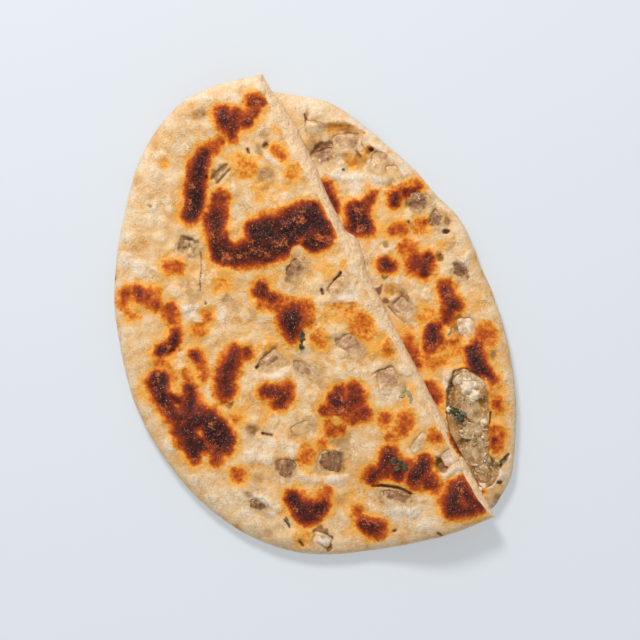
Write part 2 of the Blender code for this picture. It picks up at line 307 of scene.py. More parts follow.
def ringBody(rings):
    # a closed body from rings of equal counts, with a point at each end
    count = len(rings[0])
    points = [rings[0].mean(0), *np.concatenate(rings), rings[-1].mean(0)]
    faces = [[0, 1 + (i + 1) % count, 1 + i] for i in range(count)]
    for k in range(len(rings) - 1):
        low, high = 1 + k * count, 1 + (k + 1) * count
        faces += [[low + i, low + (i + 1) % count, high + (i + 1) % count, high + i] for i in range(count)]
    last, end = 1 + (len(rings) - 1) * count, len(points) - 1
    faces += [[end, last + i, last + (i + 1) % count] for i in range(count)]
    return np.array(points), faces


def joined(bodies):
    # several bodies, each points and faces, as one set
    points, faces, start = [], [], 0
    for some, theirs in bodies:
        points.append(some)
        faces += [[start + i for i in face] for face in theirs]
        start += len(some)
    return np.concatenate(points), faces


def rideAs(piece, slot, *nodes):
    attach(piece, "root")
    if nodes:
        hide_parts(*nodes)
    return piece


# Materials

def tint(*screen):
    # a screen colour as linear values
    shares = [value / 255 for value in screen]
    return (*(((share + 0.055) / 1.055) ** 2.4 if share > 0.04 else share / 12.92 for share in shares), 1)


class Value:
    # an output of a material's node that sums can be done on
    def __init__(self, finish, socket):
        self.finish, self.socket = finish, socket

    def __add__(self, other):
        return self.finish.sum("ADD", self, other)

    def __sub__(self, other):
        return self.finish.sum("SUBTRACT", self, other)

    def __mul__(self, other):
        return self.finish.sum("MULTIPLY", self, other)


def connect(tree, value, socket):
    value = value.socket if isinstance(value, Value) else value
    if isinstance(value, bpy.types.NodeSocket):
        tree.links.new(value, socket)
    else:
        socket.default_value = value


def addNode(tree, kind, given=None, **settings):
    # a node with its settings, and inputs that are values or outputs of other nodes
    made = tree.nodes.new(kind)
    for label, value in settings.items():
        setattr(made, label, value)
    for label, value in (given or {}).items():
        connect(tree, value, made.inputs[label])
    return made


class Finish:
    # the nodes of one material
    def __init__(self, name, shader):
        self.material = bpy.data.materials.new(name)
        self.material.use_nodes = True
        self.tree = self.material.node_tree
        self.shader = self.tree.nodes["Principled BSDF"]
        for label, value in shader.items():
            self.shader.inputs[label].default_value = value
        self.place = self.node("ShaderNodeTexCoord").outputs["Object"]

    def node(self, kind, given=None, **settings):
        return addNode(self.tree, kind, given, **settings)

    def give(self, label, value):
        connect(self.tree, value, self.shader.inputs[label])

    def number(self, label):
        return Value(self, self.node("ShaderNodeAttribute", attribute_name=label).outputs["Fac"])

    def sum(self, operation, a, b=0.0, clamp=False):
        made = self.node("ShaderNodeMath", {0: a, 1: b}, operation=operation, use_clamp=clamp)
        return Value(self, made.outputs[0])

    def between(self, value, low, high, start=0.0, end=1.0, kind="SMOOTHSTEP"):
        given = dict(enumerate((value, low, high, start, end)))
        return Value(self, self.node("ShaderNodeMapRange", given, interpolation_type=kind).outputs[0])

    def noise(self, width, detail=2.0, roughness=0.55, place=None, distortion=0.0):
        # unevenness about 0, whose features are that many millimetres wide
        made = self.node("ShaderNodeTexNoise", {
            "Vector": place or self.place, "Scale": 1 / (width * mm), "Detail": detail, "Roughness": roughness,
            "Distortion": distortion,
        })
        return Value(self, made.outputs["Fac"]) - 0.5

    def cells(self, width, feature="F1"):
        return self.node("ShaderNodeTexVoronoi", {"Vector": self.place, "Scale": 1 / (width * mm)}, feature=feature)

    def scaled(self, place, scale):
        return self.node("ShaderNodeMapping", {"Vector": place, "Scale": scale}).outputs["Vector"]

    def along(self, degrees, squeeze):
        # the place turned, then squeezed across, for a pattern that runs one way
        given = {"Vector": self.place, "Rotation": (0, 0, math.radians(degrees))}
        return self.scaled(self.node("ShaderNodeMapping", given).outputs["Vector"], (1, squeeze, 1))

    def ramp(self, value, stops):
        made = self.node("ShaderNodeValToRGB", {"Fac": value})
        elements = made.color_ramp.elements
        elements.remove(elements[1])
        elements[0].position, elements[0].color = stops[0]
        for spot, colour in stops[1:]:
            elements.new(spot).color = colour
        return made.outputs["Color"]

    def mix(self, share, a, b, blend="MIX"):
        given = {"Factor": share, "A": a, "B": b}
        return self.node("ShaderNodeMix", given, data_type="RGBA", blend_type=blend).outputs["Result"]

    def bump(self, height, strength, distance):
        made = self.node("ShaderNodeBump", {"Height": height, "Strength": strength, "Distance": distance * mm})
        self.give("Normal", made.outputs["Normal"])

    def colour(self, value):
        self.give("Base Color", value)


doughLook = {
    "cream": tint(236, 206, 164),
    "tan": tint(225, 172, 106),
    "hollow": tint(180, 126, 66),
    "gold": tint(238, 170, 74),
    "amber": tint(232, 142, 36),
    # brown of browned dough, also used for painted shade in pits, cracks and round the gaps of the onion windows
    "brownAndShade": tint(140, 92, 48),
    # pale flour colour, also used for painted light on the rim's lit side and on raised places
    "flourAndLight": tint(234, 215, 192),
    "skin": tint(192, 154, 106),
    "crumb": tint(248, 212, 168),
    "crumbDark": tint(224, 174, 122),
    "crease": tint(186, 134, 78),
    # by how deep inside a burn, in millimetres
    "burn": (
        (-2.7, tint(243, 192, 104)), (-1.9, tint(238, 166, 60)), (-1.2, tint(222, 126, 28)), (-0.5, tint(188, 82, 14)),
        (0.3, tint(140, 46, 8)), (1.1, tint(98, 28, 8)), (2.1, tint(64, 18, 10)), (3.6, tint(38, 12, 11)),
    ),
    "raggedness": (3.0, 2.4, 1.4),  # of a burn's edge at 4.2, 1.4 and 0.85 mm
    "crust": tint(142, 66, 44),
    "speck": tint(206, 104, 52),
    # painted glints: pale dots on the burns that stand for highlights on the glossy char
    "paintedGlint": tint(232, 160, 116),
    "shader": {
        "Roughness": 0.5, "Subsurface Weight": 0.08, "Subsurface Radius": (0.7 * mm, 0.4 * mm, 0.2 * mm),
        "Subsurface Scale": 1.0, "Specular IOR Level": 0.2, "Coat Weight": 0.03, "Coat Roughness": 0.22,
    },
}


def doughMaterial():
    look = doughLook
    finish = Finish("bakedDough", look["shader"])
    mix, between, number = finish.mix, finish.between, finish.number
    broad, middle = finish.noise(11, 3), finish.noise(2.8, 3, 0.6)
    fine, finest = finish.noise(0.85, 3, 0.65), finish.noise(0.42, 1)
    raised, golden = number("raised"), number("gold")
    # painted light and shade on the relief: raised places are paler, low ones more tan
    mottle = broad * 2.2 - raised * 0.35 + middle * 0.8 + fine * 0.7
    base = mix(between(mottle, -0.35, 0.7), look["cream"], look["tan"])
    base = mix(between(mottle, 0.35, 1.1, 0.0, 0.8), base, look["hollow"])
    base = mix(between(golden + middle * 1.3, 0.1, 0.95) * between(golden, 0, 0.25), base, look["gold"])
    base = mix(between(golden + middle * 1.8, 0.75, 1.4), base, look["amber"])
    # brown: partly real browning, partly painted shade in pits, cracks and gaps
    base = mix(between(number("brownAndShade") + fine * 0.8, 0.15, 1.2), base, look["brownAndShade"])
    # pale flour, with painted light: raised places and the lit side of the rim are paler
    flourAndLight = number("flourAndLight") + finish.noise(1.5, 4, 0.7) * 1.3 + raised * 0.3
    base = mix(between(flourAndLight, 0.15, 1.2, 0.0, 0.85), base, look["flourAndLight"])
    base = mix(between(number("skin") + middle * 0.9, 0.2, 0.9, 0.0, 0.75), base, look["skin"])
    # short wavy creases where the skin of the dough was stretched, painted darker as shade in them
    wavy = finish.sum("ABSOLUTE", finish.noise(1.9, 2, 0.6, finish.along(38, 0.5), 0.6))
    crease = between(wavy, 0.0, 0.035, 1.0, 0.0) * between(finish.noise(6, 2), -0.12, 0.16)
    base = mix(crease * 0.5, base, look["crease"])
    crumb = mix(between(finish.noise(1.3, 3, 0.6), 0.0, 0.25), look["crumb"], look["crumbDark"])
    base = mix(number("cut"), base, crumb)
    # a little light and dark in every crumb
    lighter = fine * 0.7 + 1.0 + finest * 0.5
    powers = {i: finish.sum("POWER", lighter, share) for i, share in enumerate((0.7, 1.0, 1.5))}
    base = mix(1.0, base, finish.node("ShaderNodeCombineColor", powers).outputs[0], "MULTIPLY")
    # burns, whose fringe is narrow in some places and wide in others
    depth = number("burn") * between(finish.noise(13, 1), -0.16, 0.16, 0.65, 1.35)
    for unevenness, amount in zip((finish.noise(4.2, 2), finish.noise(1.4, 2), fine), look["raggedness"]):
        depth += unevenness * amount
    shallow, deep = look["burn"][0][0], look["burn"][-1][0]
    stops = [((spot - shallow) / (deep - shallow), colour) for spot, colour in look["burn"]]
    burnt = finish.ramp(between(depth, shallow, deep, kind="LINEAR"), stops)
    inside = between(depth, -0.3, 0.9)
    crusty = between(finish.noise(1.05, 3, 0.75), 0.0, 0.14, 0.0, 0.6)
    crowd = between(finish.noise(1.1, 4, 0.75) + finish.noise(7, 1) * 0.9, 0.1, 0.26, 0.0, 0.85)
    # painted glints: pale dots in the burns, standing for highlights on the glossy char
    glint = between(finish.noise(0.7, 2, 0.8, finish.along(-50, 0.6), 0.8), 0.16, 0.25, 0.0, 0.9)
    for share, colour in ((crusty, "crust"), (crowd, "speck"), (glint, "paintedGlint")):
        burnt = mix(share * inside, burnt, look[colour])
    rougher = (fine + finest) * 1.6 + 1.0
    burnt = mix(inside, burnt, mix(1.0, burnt, rougher, "MULTIPLY"))
    finish.colour(mix(between(depth, -2.8, -1.2), base, burnt))
    finish.give("Roughness", number("wet") * -0.25 + look["shader"]["Roughness"])
    finish.bump(fine * 0.8 + middle * 0.6 + finest * 0.6 - crease * 0.22, 0.8, 0.6)
    return finish.material


onionLook = {
    "name": "cookedOnion",
    "tones": (
        (0.0, tint(92, 56, 28)), (0.3, tint(148, 104, 68)), (0.55, tint(186, 144, 104)), (0.8, tint(218, 184, 150)),
        (1.0, tint(246, 228, 206)),
    ),
    "under": tint(228, 186, 126),  # dough that thins out over a piece
    # dark juice, also painted as shade on a piece's edge beside its gap
    "juiceAndShade": tint(176, 126, 54),
    "edge": tint(250, 234, 214),
    "shader": {
        "Roughness": 0.38, "Subsurface Weight": 0.3, "Subsurface Radius": (1.6 * mm, 1.1 * mm, 0.8 * mm),
        "Subsurface Scale": 1.0, "Specular IOR Level": 0.22, "Coat Weight": 0.1, "Coat Roughness": 0.12,
    },
}
fillingLook = onionLook | {
    "name": "wetFilling",
    "tones": (
        (0.0, tint(70, 44, 16)), (0.3, tint(128, 90, 46)), (0.55, tint(172, 132, 82)), (0.8, tint(208, 174, 130)),
        (1.0, tint(240, 220, 190)),
    ),
    "shader": onionLook["shader"] | {"Specular IOR Level": 0.4, "Coat Weight": 0.4},
}


def onionMaterial(look):
    finish = Finish(look["name"], look["shader"])
    mix, between, number = finish.mix, finish.between, finish.number
    own = finish.node("ShaderNodeAttribute", attribute_name="own").outputs["Vector"]
    fibres = finish.noise(1.1, 3, 0.6, finish.scaled(own, (0.55 * mm, 0.08 * mm, 0.08 * mm)))
    cloud, fine = finish.noise(2.4, 3), finish.noise(0.8, 2)
    # flat facets, each with its own tone
    facets = finish.node("ShaderNodeSeparateColor", {0: finish.cells(2.4).outputs["Color"]})
    facet = Value(finish, facets.outputs[0]) - 0.5
    tone = number("tone") + fibres * 0.7 + fine * 0.35 + cloud * 0.8
    base = finish.ramp(finish.sum("ADD", tone, facet * 0.2, True), look["tones"])
    # juice, and painted shade at the edges of pieces beside their gaps
    juiceAndShade = number("juiceAndShade")
    base = mix(between(juiceAndShade + cloud * 0.8, 0.2, 1.1), base, look["juiceAndShade"])
    # pale lines where one layer of the onion ends
    line = between(finish.cells(2.6, "DISTANCE_TO_EDGE").outputs["Distance"], 0.0, 0.07, 0.5, 0.0)
    line *= between(juiceAndShade, 0.05, 0.4, 0.2, 1.0)
    base = mix(line * between(fine, -0.05, 0.12), base, look["edge"])
    finish.colour(mix(between(number("under") + cloud * 1.2, 0.25, 0.95), base, look["under"]))
    finish.bump(fibres + (cloud + facet) * 0.5 + fine * 0.5, 0.45, 0.5)
    return finish.material


herbLook = {
    "dark": tint(32, 34, 14),
    "light": tint(88, 96, 44),
    "pale": tint(176, 172, 126),
    "shader": {"Roughness": 0.45},
}


def herbMaterial():
    finish = Finish("herbLeaf", herbLook["shader"])
    veins = finish.noise(1.2, 3)
    base = finish.mix(finish.between(veins, -0.15, 0.3), herbLook["dark"], herbLook["light"])
    finish.colour(finish.mix(finish.number("pale"), base, herbLook["pale"]))
    finish.bump(veins, 0.4, 0.2)
    return finish.material


# crumbs of crust: char grains are browner, flour crumbs paler
gritLook = {
    "shades": ((0.0, tint(140, 62, 36)), (0.5, tint(206, 122, 74)), (1.0, tint(240, 216, 186))),
    "shader": {"Roughness": 0.42},
}


def gritMaterial():
    finish = Finish("crustGrit", gritLook["shader"])
    finish.colour(finish.ramp(finish.number("shade"), gritLook["shades"]))
    finish.bump(finish.noise(0.3, 1), 0.3, 0.1)
    return finish.material


curdLook = {
    "white": tint(238, 218, 190),
    "cream": tint(214, 182, 138),
    "shader": {
        "Roughness": 0.5, "Subsurface Weight": 0.2, "Subsurface Radius": (1.2 * mm, 0.9 * mm, 0.6 * mm),
        "Subsurface Scale": 1.0,
    },
}


def curdMaterial():
    finish = Finish("whiteCurd", curdLook["shader"])
    lumpy = finish.noise(1.0, 3)
    finish.colour(finish.mix(finish.between(lumpy, -0.15, 0.25), curdLook["white"], curdLook["cream"]))
    finish.bump(lumpy, 0.6, 0.3)
    return finish.material


dough = doughMaterial()
onion = onionMaterial(onionLook)
wetOnion = onionMaterial(fillingLook)
curd = curdMaterial()
herb = herbMaterial()
grit = gritMaterial()
print("materials made")


# The crust of each piece, seen from above; places on it are photo pixels

largeCrust = {
    "name": "largePiece",
    "node": "large_piece",
    "side": 1,
    "reach": 107.4,
    "round": (
        (0.0, 0.0), (-0.024, 0.2), (-0.018, 0.37), (0.044, 0.573), (0.2, 0.816), (0.34, 0.94), (0.505, 1.0),
        (0.672, 0.963), (0.8, 0.854), (0.892, 0.69), (0.95, 0.45), (0.988, 0.19), (1.0, 0.0),
    ),
    # along the cut: where the crust ends, and where the foot of the cut is, out from the straight line
    "edgeOut": (
        (0, 0.2), (3, 2.2), (9, 3.4), (22, 3.7), (29, 4.3), (36, 3.9), (46, 3.4), (57, 3.1), (70, 3.5), (120, 3.6),
        (165, 3.4), (190, 3.0), (197, 1.6), (200, 0.2),
    ),
    "footOut": (
        (0, 0), (7, -0.25), (14, -1.0), (20, -1.8), (26, -2.2), (31, -1.9), (38, -1.75), (43, -1.7), (48, -1.2),
        (53, -0.75), (58, -0.5), (71, -0.45), (72.5, -1.4), (74, -2.5), (77, -3.0), (83, -2.2), (87, -0.8), (90, -0.1),
        (200, 0),
    ),
    "stain": (167.5, 5.0),  # along the cut: its middle and half its length
    "spacing": 0.5,
    "spine": ((48, 50), (150, 50)),
    "hiddenDice": 150,
    # (x, y, radius, height) of the browned blisters, as in the solid
    "blisters": (
        (-37, 76, 6, 1.0), (-49, 56, 7, 0.9), (-39, 31, 7, 0.9), (-22, 28, 8, 1.0), (-6, 33, 9, 1.1), (4, 37, 6, 0.9),
        (-10, -3, 6, 0.8), (-33, -21, 7, 0.9), (-60, -33, 6, 0.8), (-45, -44, 10, 1.2), (-16, -30, 7, 0.8),
        (10, -38, 9, 1.1), (26, -59, 6, 0.8), (41, -62, 6, 0.8), (58, -74, 8, 1.0), (-3, -76, 8, 1.0),
        (22, -83, 6, 0.8), (-67, 7, 7, 0.7),
    ),
    # how dark the middle gets, then beads along the burn
    "burns": (
        (6, ((254, 99, 6), (261, 100, 4))),
        (0.9, ((255, 106, 3.5), (253, 112, 3))),
        (3, ((247, 119, 5), (243, 120, 4))),
        (2, ((241, 116, 3), (249, 112, 3))),
        (6, ((222, 112, 7.5), (226, 119, 8.5), (231, 128, 5), (231, 136, 2.5))),
        (6, ((234, 113, 5), (233, 121, 6.5))),
        (1.5, ((242, 116, 3.5),)),
        (6, ((204, 151, 5.5), (199, 161, 8.5), (197, 175, 8), (194, 190, 9.9), (195, 200, 9), (190, 212, 8))),
        (-0.5, ((207, 150, 3), (214, 146, 2.5), (220, 141, 2))),
        (0.4, ((214, 145, 2),)),
        (0.5, ((219, 196, 6),)),
        (1, ((206, 215, 3),)),
        (6, ((217, 209, 8), (215, 219, 9.5), (215, 229, 8.5), (216, 239, 7), (220, 249, 8.5))),
        (6, ((220, 249, 8.5), (232, 255, 8), (246, 251, 11), (263, 246, 14.6), (277, 241, 14.8), (288, 233, 13))),
        (6, ((217, 254, 5.5), (224, 257, 5))),
        (6, ((224, 238, 6), (232, 249, 4.5), (242, 243, 4.5))),
        (6, ((254, 228, 9), (264, 224, 9.5), (279, 221, 9), (292, 214.5, 9.4), (304, 208.5, 8.5), (313, 206.5, 7))),
        (6, ((258, 233, 11), (272, 232, 12))),
        (6, ((285, 231, 13), (297, 226, 14), (309, 219, 13), (314, 213, 8.5))),
        (2.4, ((314, 213, 8), (320, 226, 10.5), (323, 236, 8.8), (315, 240, 9.3), (308, 236, 9))),
        (-0.5, ((169, 265, 5), (176, 264, 4.5))),
        (0.3, ((175, 262, 2.5),)),
        (-0.2, ((124, 293, 3.5), (134, 290.5, 5.5), (144, 295.5, 4.5), (155, 300, 4.5))),
        (1.4, ((138, 290.5, 4.8), (139.5, 295.5, 3.2))),
        (1, ((148, 294.5, 3),)),
        (0.5, ((156, 301, 2.5),)),
        (-0.7, ((152, 291, 5),)),
        (1, ((168.7, 305.5, 3.5), (169.7, 310, 3.3))),
        (-0.9, ((169, 308, 5.5), (173, 318, 3))),
        (-1.1, ((130, 311, 4.5),)),
        (-1.1, ((120, 300, 4),)),
        (3, ((175, 331, 4.5), (174, 338, 4.5), (170, 345, 5.2), (162, 347, 5.7), (158.5, 350, 4))),
        (-0.8, ((157, 359, 3), (164, 363, 3), (169, 369, 3), (171, 376, 3))),
        (6, ((158, 379, 10.5), (159, 390, 8), (166, 402, 7.5), (174, 412, 7))),
        (2.5, ((170, 393.5, 3), (177, 400, 4.5), (181, 396, 3))),
        (6, ((189, 387, 5.5), (190, 397, 7.5), (190, 408, 9))),
        (6, ((176, 414, 7), (196, 417, 11), (184, 427, 10.5), (190, 438, 10), (193, 452, 6), (194, 457, 3.5))),
        (6, ((206, 419, 12), (214.5, 428.5, 13.5), (220.5, 438.5, 13.3))),
        (6, ((198, 408, 5), (208, 412.5, 5))),
        (6, ((207, 445, 4),)),
        (0.7, ((216, 452, 5), (214.5, 458, 3.7))),
        (3, ((198, 442, 9),)),
        (0.9, ((194, 352, 4.7), (195.5, 357, 3))),
        (-0.7, ((197, 362, 3.2), (200, 371, 3))),
        (-0.6, ((186, 373, 3), (186, 383, 3))),
        (6, ((234, 350.5, 5.5), (230.5, 360, 8), (225, 372, 8), (225, 384, 8), (225, 391, 6))),
        (1.0, ((246, 351, 4.5),)),
        (2.2, ((265, 388.5, 5), (276, 390, 6), (282.5, 394.5, 6), (279.5, 400, 5.6), (275, 401, 3.5))),
        (0.2, ((285, 387, 5), (286, 394, 6))),
        (2.1, ((261, 285, 6), (259, 290, 5), (266, 293.5, 4.3), (272.5, 296, 3.4))),
        (-1.0, ((263, 298, 6.5), (277, 301, 4.5))),
        (6, ((291.5, 312, 10.6), (290.5, 319, 11.5), (291.5, 328, 8.6), (291, 336, 4.5))),
        (-0.5, ((303, 306, 5.5), (304, 318, 5))),
        (1.5, ((338, 389.5, 5.3), (336, 397, 8.3), (340, 403, 8.6))),
        (0.4, ((325, 407, 5.5), (333, 405, 6.5), (346, 406, 7))),
        (1.6, ((355, 388.5, 6), (354.5, 396, 7.6), (353.5, 403, 7))),
        (0.4, ((356, 407, 6), (364, 411, 4.8))),
        (-0.2, ((329.5, 422, 6), (332, 428, 6), (339, 427, 4.5))),
        (-0.3, ((346, 413, 5.5), (350, 416, 4.5))),
        (-0.6, ((322, 441, 3.5),)),
        (-0.8, ((385, 416, 4.5),)),
        (-0.8, ((404, 418, 6), (400, 427, 5))),
        (0.1, ((403, 415, 2.5),)),
        (-1.0, ((391, 437, 4),)),
        (-1.1, ((435, 435, 5),)),
        (-0.8, ((305, 447, 3), (305, 456, 4.5))),
        (3.4, ((388, 453.5, 8.4), (387, 460, 8), (380, 467, 4.8), (371, 475, 5.5))),
        (0.4, ((375, 473, 5), (386, 469, 5.5), (396, 459, 5.5))),
        (-0.6, ((366, 474, 3),)),
        (0, ((398, 458, 4), (406, 463, 4), (414, 462, 4))),
        (1.4, ((398, 471, 6.5),)),
        (6, ((423.5, 459, 6.5), (420, 467, 8), (414, 475, 8), (416, 482, 4))),
        (1.5, ((429.5, 479.5, 7.5), (434, 484, 4))),
        (6, ((461, 478.5, 4), (457.5, 486, 8), (453.5, 495, 9.6), (453, 505, 10.5))),
        (6, ((462, 508, 6), (473, 508.5, 4.5))),
        (6, ((463, 487, 6), (467, 496, 7), (476, 503, 5.5), (480, 505, 4))),
        (6, ((292, 496, 7.5), (299, 505, 9), (306, 514, 8.5))),
        (6, ((322, 504, 6.5), (317, 508, 7.5), (310, 516, 6))),
        (3, ((303, 503, 7), (318, 505, 7))),
        (-0.7, ((325, 491, 4),)),
        (6, ((363, 520.5, 6), (372, 525, 7.7), (377.5, 526.5, 6))),
        (-0.7, ((357, 507, 4), (359, 514, 3))),
        (-0.8, ((197, 327, 4.5),)),
        (-1.2, ((206, 313, 3.5),)),
        (-0.8, ((236, 415, 3),)),
        (-0.7, ((238, 473, 4.5),)),
        (-1.2, ((319, 338, 5),)),
        (-1.4, ((334, 309, 4), (350, 312, 4), (361, 322, 6), (366, 332, 5))),
        (-1.8, ((375, 341, 7), (385, 345, 6))),
        (-1.5, ((294, 169, 5.5),)),
        (-0.7, ((277, 148, 3), (282, 154, 3))),
        (-1.9, ((238, 160, 6), (246, 166, 5))),
        (-1.5, ((222, 282, 5),)),
        (-1.3, ((303, 535, 4),)),
    ),
    # places inside burns that stayed lighter
    "spared": (
        (232, 236, 5, 1.5), (262, 240, 5, 1.5), (176, 403, 3, 2.5), (200, 429, 6, 1.3), (183, 420, 4, 1.2),
        (312, 502, 3, 1.5), (336, 418, 6, 1.0), (300, 236, 5, 1.2), (238, 207, 9, 4), (296, 249, 7, 4),
    ),
    "gold": (
        (163, 160, 12, 0.8), (168, 137, 9, 0.6), (152, 160, 8, 0.5), (240, 162, 16, 0.9), (277, 128, 12, 0.8),
        (255, 158, 12, 0.8), (197, 228, 10, 0.6), (262, 190, 20, 0.8), (285, 182, 12, 0.8), (165, 256, 15, 0.8),
        (192, 275, 14, 0.5), (222, 283, 12, 0.6), (275, 272, 10, 0.7), (325, 268, 16, 0.8), (345, 262, 10, 0.8),
        (305, 285, 10, 0.5), (330, 312, 16, 0.8), (370, 340, 20, 0.9), (320, 342, 14, 0.8), (165, 335, 10, 0.8),
        (188, 340, 9, 0.7), (200, 380, 12, 0.6), (142, 395, 12, 0.8), (135, 385, 8, 0.5), (240, 410, 16, 0.7),
        (150, 435, 14, 0.4), (300, 440, 12, 0.7), (350, 490, 14, 0.7), (400, 400, 14, 0.7), (420, 440, 18, 0.8),
        (385, 430, 16, 0.8), (437, 500, 10, 0.8), (400, 525, 12, 0.4), (303, 532, 10, 0.7), (352, 530, 10, 0.7),
        (240, 470, 12, 0.6), (270, 400, 24, 0.7), (270, 346, 18, 0.9), (255, 352, 10, 0.8), (285, 352, 10, 0.8),
        (225, 340, 10, 0.6), (262, 420, 14, 0.7), (230, 420, 8, 0.7), (330, 445, 10, 0.6), (410, 390, 16, 0.7),
        (308, 470, 10, 0.6), (222, 180, 10, 0.4), (200, 130, 12, 0.5),
    ),
    "flourAndLight": (
        (283, 108, 12, 0.6), (272, 96, 10, 0.6), (230, 88, 22, 0.7), (180, 112, 18, 0.6), (146, 155, 16, 0.5),
        (274, 159, 7, 0.8), (268, 155, 6, 0.8), (330, 172, 10, 0.6), (125, 260, 22, 0.7), (135, 330, 16, 0.4),
        (190, 310, 16, 0.8), (280, 294, 10, 0.7), (345, 295, 22, 0.8), (310, 255, 8, 0.5), (225, 315, 20, 0.6),
        (275, 372, 14, 0.8), (300, 385, 12, 0.8), (350, 365, 12, 0.6), (380, 385, 9, 0.7), (393, 392, 16, 0.7),
        (260, 445, 22, 0.8), (290, 445, 12, 0.8), (370, 445, 14, 0.6), (330, 480, 14, 0.8), (260, 490, 16, 0.7),
        (270, 512, 14, 0.7), (400, 510, 20, 0.9), (425, 520, 18, 0.9), (430, 530, 12, 0.7), (350, 540, 20, 0.4),
        (225, 500, 16, 0.6), (195, 490, 16, 0.5), (185, 268, 8, 0.6), (178, 352, 7, 0.9), (200, 390, 8, 0.7),
        (445, 470, 7, 0.9), (456, 470, 8, 0.9), (395, 350, 12, 0.7), (375, 300, 14, 0.7), (245, 510, 8, 0.8),
    ),
    # brown spots; the few along the lower rim are painted shade where the rim is shaded
    "brownAndShade": (
        (200, 112, 12, 0.45), (203, 112, 5, 0.8), (264, 173, 15, 0.5), (213, 171, 7, 0.8), (220, 165, 6, 0.7),
        (190, 245, 13, 0.9), (265, 187, 6, 0.5), (152, 272, 8, 0.35), (185, 280, 14, 0.3), (150, 203, 4, 1.0),
        (226, 401, 7, 1.2), (338, 440, 9, 0.6), (318, 528, 8, 1.1), (325, 529, 5, 1.0), (266, 504, 5, 0.9),
        (267, 530, 7, 0.4), (256, 533, 8, 0.3), (440, 462, 7, 1.3), (290, 268, 6, 0.9), (288, 276, 5, 0.8),
        (303, 257, 4, 0.9), (252, 431, 5, 1.0), (346, 337, 5, 0.8), (345, 440, 10, 0.5), (215, 465, 14, 0.35),
        (175, 347, 5, 0.9), (250, 428, 9, 0.5), (378, 432, 8, 0.3), (262, 300, 8, 0.2), (113, 273, 4, 1.0),
        (328, 545, 4, 1.2), (255, 478, 12, 0.4), (295, 252, 8, 0.35), (265, 137, 8, 0.5), (258, 148, 7, 0.5),
        (340, 500, 12, 0.3), (215, 176, 4, 0.8),
    ),
    # onion that shows through thin skin
    "skin": (
        (188, 290, 7, 1.0), (198, 292, 8, 1.0), (192, 296, 9, 0.9), (228, 298, 9, 0.8), (235, 306, 8, 0.8),
        (252, 312, 6, 0.6), (204, 339, 7, 0.5), (213, 392, 7, 0.4), (221, 168, 10, 0.5), (300, 428, 13, 0.8),
        (190, 247, 16, 0.5), (262, 322, 12, 0.4), (258, 410, 12, 0.4), (395, 372, 20, 0.4), (150, 199, 6, 0.6),
        (128, 228, 7, 0.3), (392, 498, 22, 0.5), (348, 455, 12, 0.4), (200, 484, 26, 0.35), (240, 455, 18, 0.3),
        (150, 430, 16, 0.3), (333, 437, 8, 1.1), (343, 440, 8, 1.1), (348, 432, 6, 0.8), (338, 522, 12, 0.5),
        (262, 132, 9, 0.7), (258, 146, 8, 0.6), (350, 350, 20, 0.4), (343, 283, 12, 0.5), (418, 440, 12, 0.5),
        (305, 372, 18, 0.4), (250, 436, 10, 0.5),
    ),
    # pits: pixel, half length and half width in pixels, turn, depth in millimetres
    "pits": (
        (265, 143, 3.5, 3, 30, 1.9), (265, 131, 5, 4, 0, 0.5), (259, 147, 4, 7, 15, 0.7), (221, 168, 10, 6, 30, 0.5),
        (172, 349, 4.5, 3, 30, 1.9), (176, 347, 5, 4, 20, 1.2), (253, 428, 9, 4, -20, 0.9), (225, 402, 6, 2.5, 0, 1.3),
        (335, 522, 8, 6, 0, 0.5), (440, 463, 8, 5.5, -55, 2.6), (200, 112, 11, 6, 35, 0.4), (264, 173, 14, 6, 20, 0.6),
        (280, 152, 8, 4, -50, 0.5), (150, 199, 4, 3, 0, 0.4), (128, 228, 5, 4, 0, 0.3), (189, 281, 14, 6, -20, 0.4),
        (338, 440, 11, 5, 20, 0.5), (357, 281, 3, 5, -30, 0.5), (328, 546, 2.5, 5, 0, 1.2), (204, 339, 6, 4, 0, 0.4),
        (213, 392, 6, 5, 10, 0.4), (232, 306, 10, 7, -20, 0.4), (285, 522, 4, 3, -50, 0.6), (275, 530, 12, 5, 10, 0.5),
        (258, 410, 10, 8, 20, 0.4), (262, 322, 10, 8, 30, 0.4), (152, 272, 7, 4, -40, 0.5), (305, 353, 8, 7, 0, 0.5),
        (340, 500, 12, 6, 30, 0.4), (225, 178, 8, 6, 40, 0.4), (258, 478, 14, 4, -15, 0.4), (420, 505, 10, 6, 0, 0.4),
    ),
    # cracks and slits: width and depth in millimetres, then the line
    "cracks": (
        (0.36, 0.9, ((200, 250), (201, 258), (200.5, 268), (199.5, 278), (200, 289))),
        (0.9, 1.8, ((334, 278), (337, 275), (340, 270))),
        (0.8, 1.4, ((321, 287), (322, 291))),
        (0.8, 2.3, ((372, 483.5), (380, 483), (388, 484), (396, 485), (403, 487.5), (410, 491))),
        (1.0, 2.0, ((266, 355), (261, 360), (256, 365))),
        (0.5, 1.0, ((284, 517), (287, 521), (289, 525))),
        (1.0, 1.6, ((299, 539), (301, 541), (302, 543))),
        (0.8, 1.3, ((393, 529), (395, 528))),
        (0.9, 1.6, ((247, 147), (248, 150))),
        (0.8, 1.5, ((206, 174), (206, 177))),
        (0.7, 1.2, ((207, 184), (207, 186))),
        (0.9, 0.8, ((210, 177), (216, 170), (226, 162))),
        (0.8, 0.7, ((216, 181), (222, 174), (229, 167))),
        (0.9, 1.5, ((262, 431), (268, 432), (271, 433))),
        (0.7, 1.2, ((205, 300), (205, 301.5))),
        (0.7, 1.3, ((113, 269), (114, 277))),
        (0.8, 0.9, ((314, 529), (322, 531), (331, 535))),
        (0.6, 0.6, ((372, 372), (378, 368), (390, 366))),
        (0.8, 1.0, ((437, 531), (441, 533))),
    ),
    # ridges: width and height in millimetres, then the line
    "ridges": (
        (2.2, 0.7, ((262, 150), (272, 158), (285, 167))),
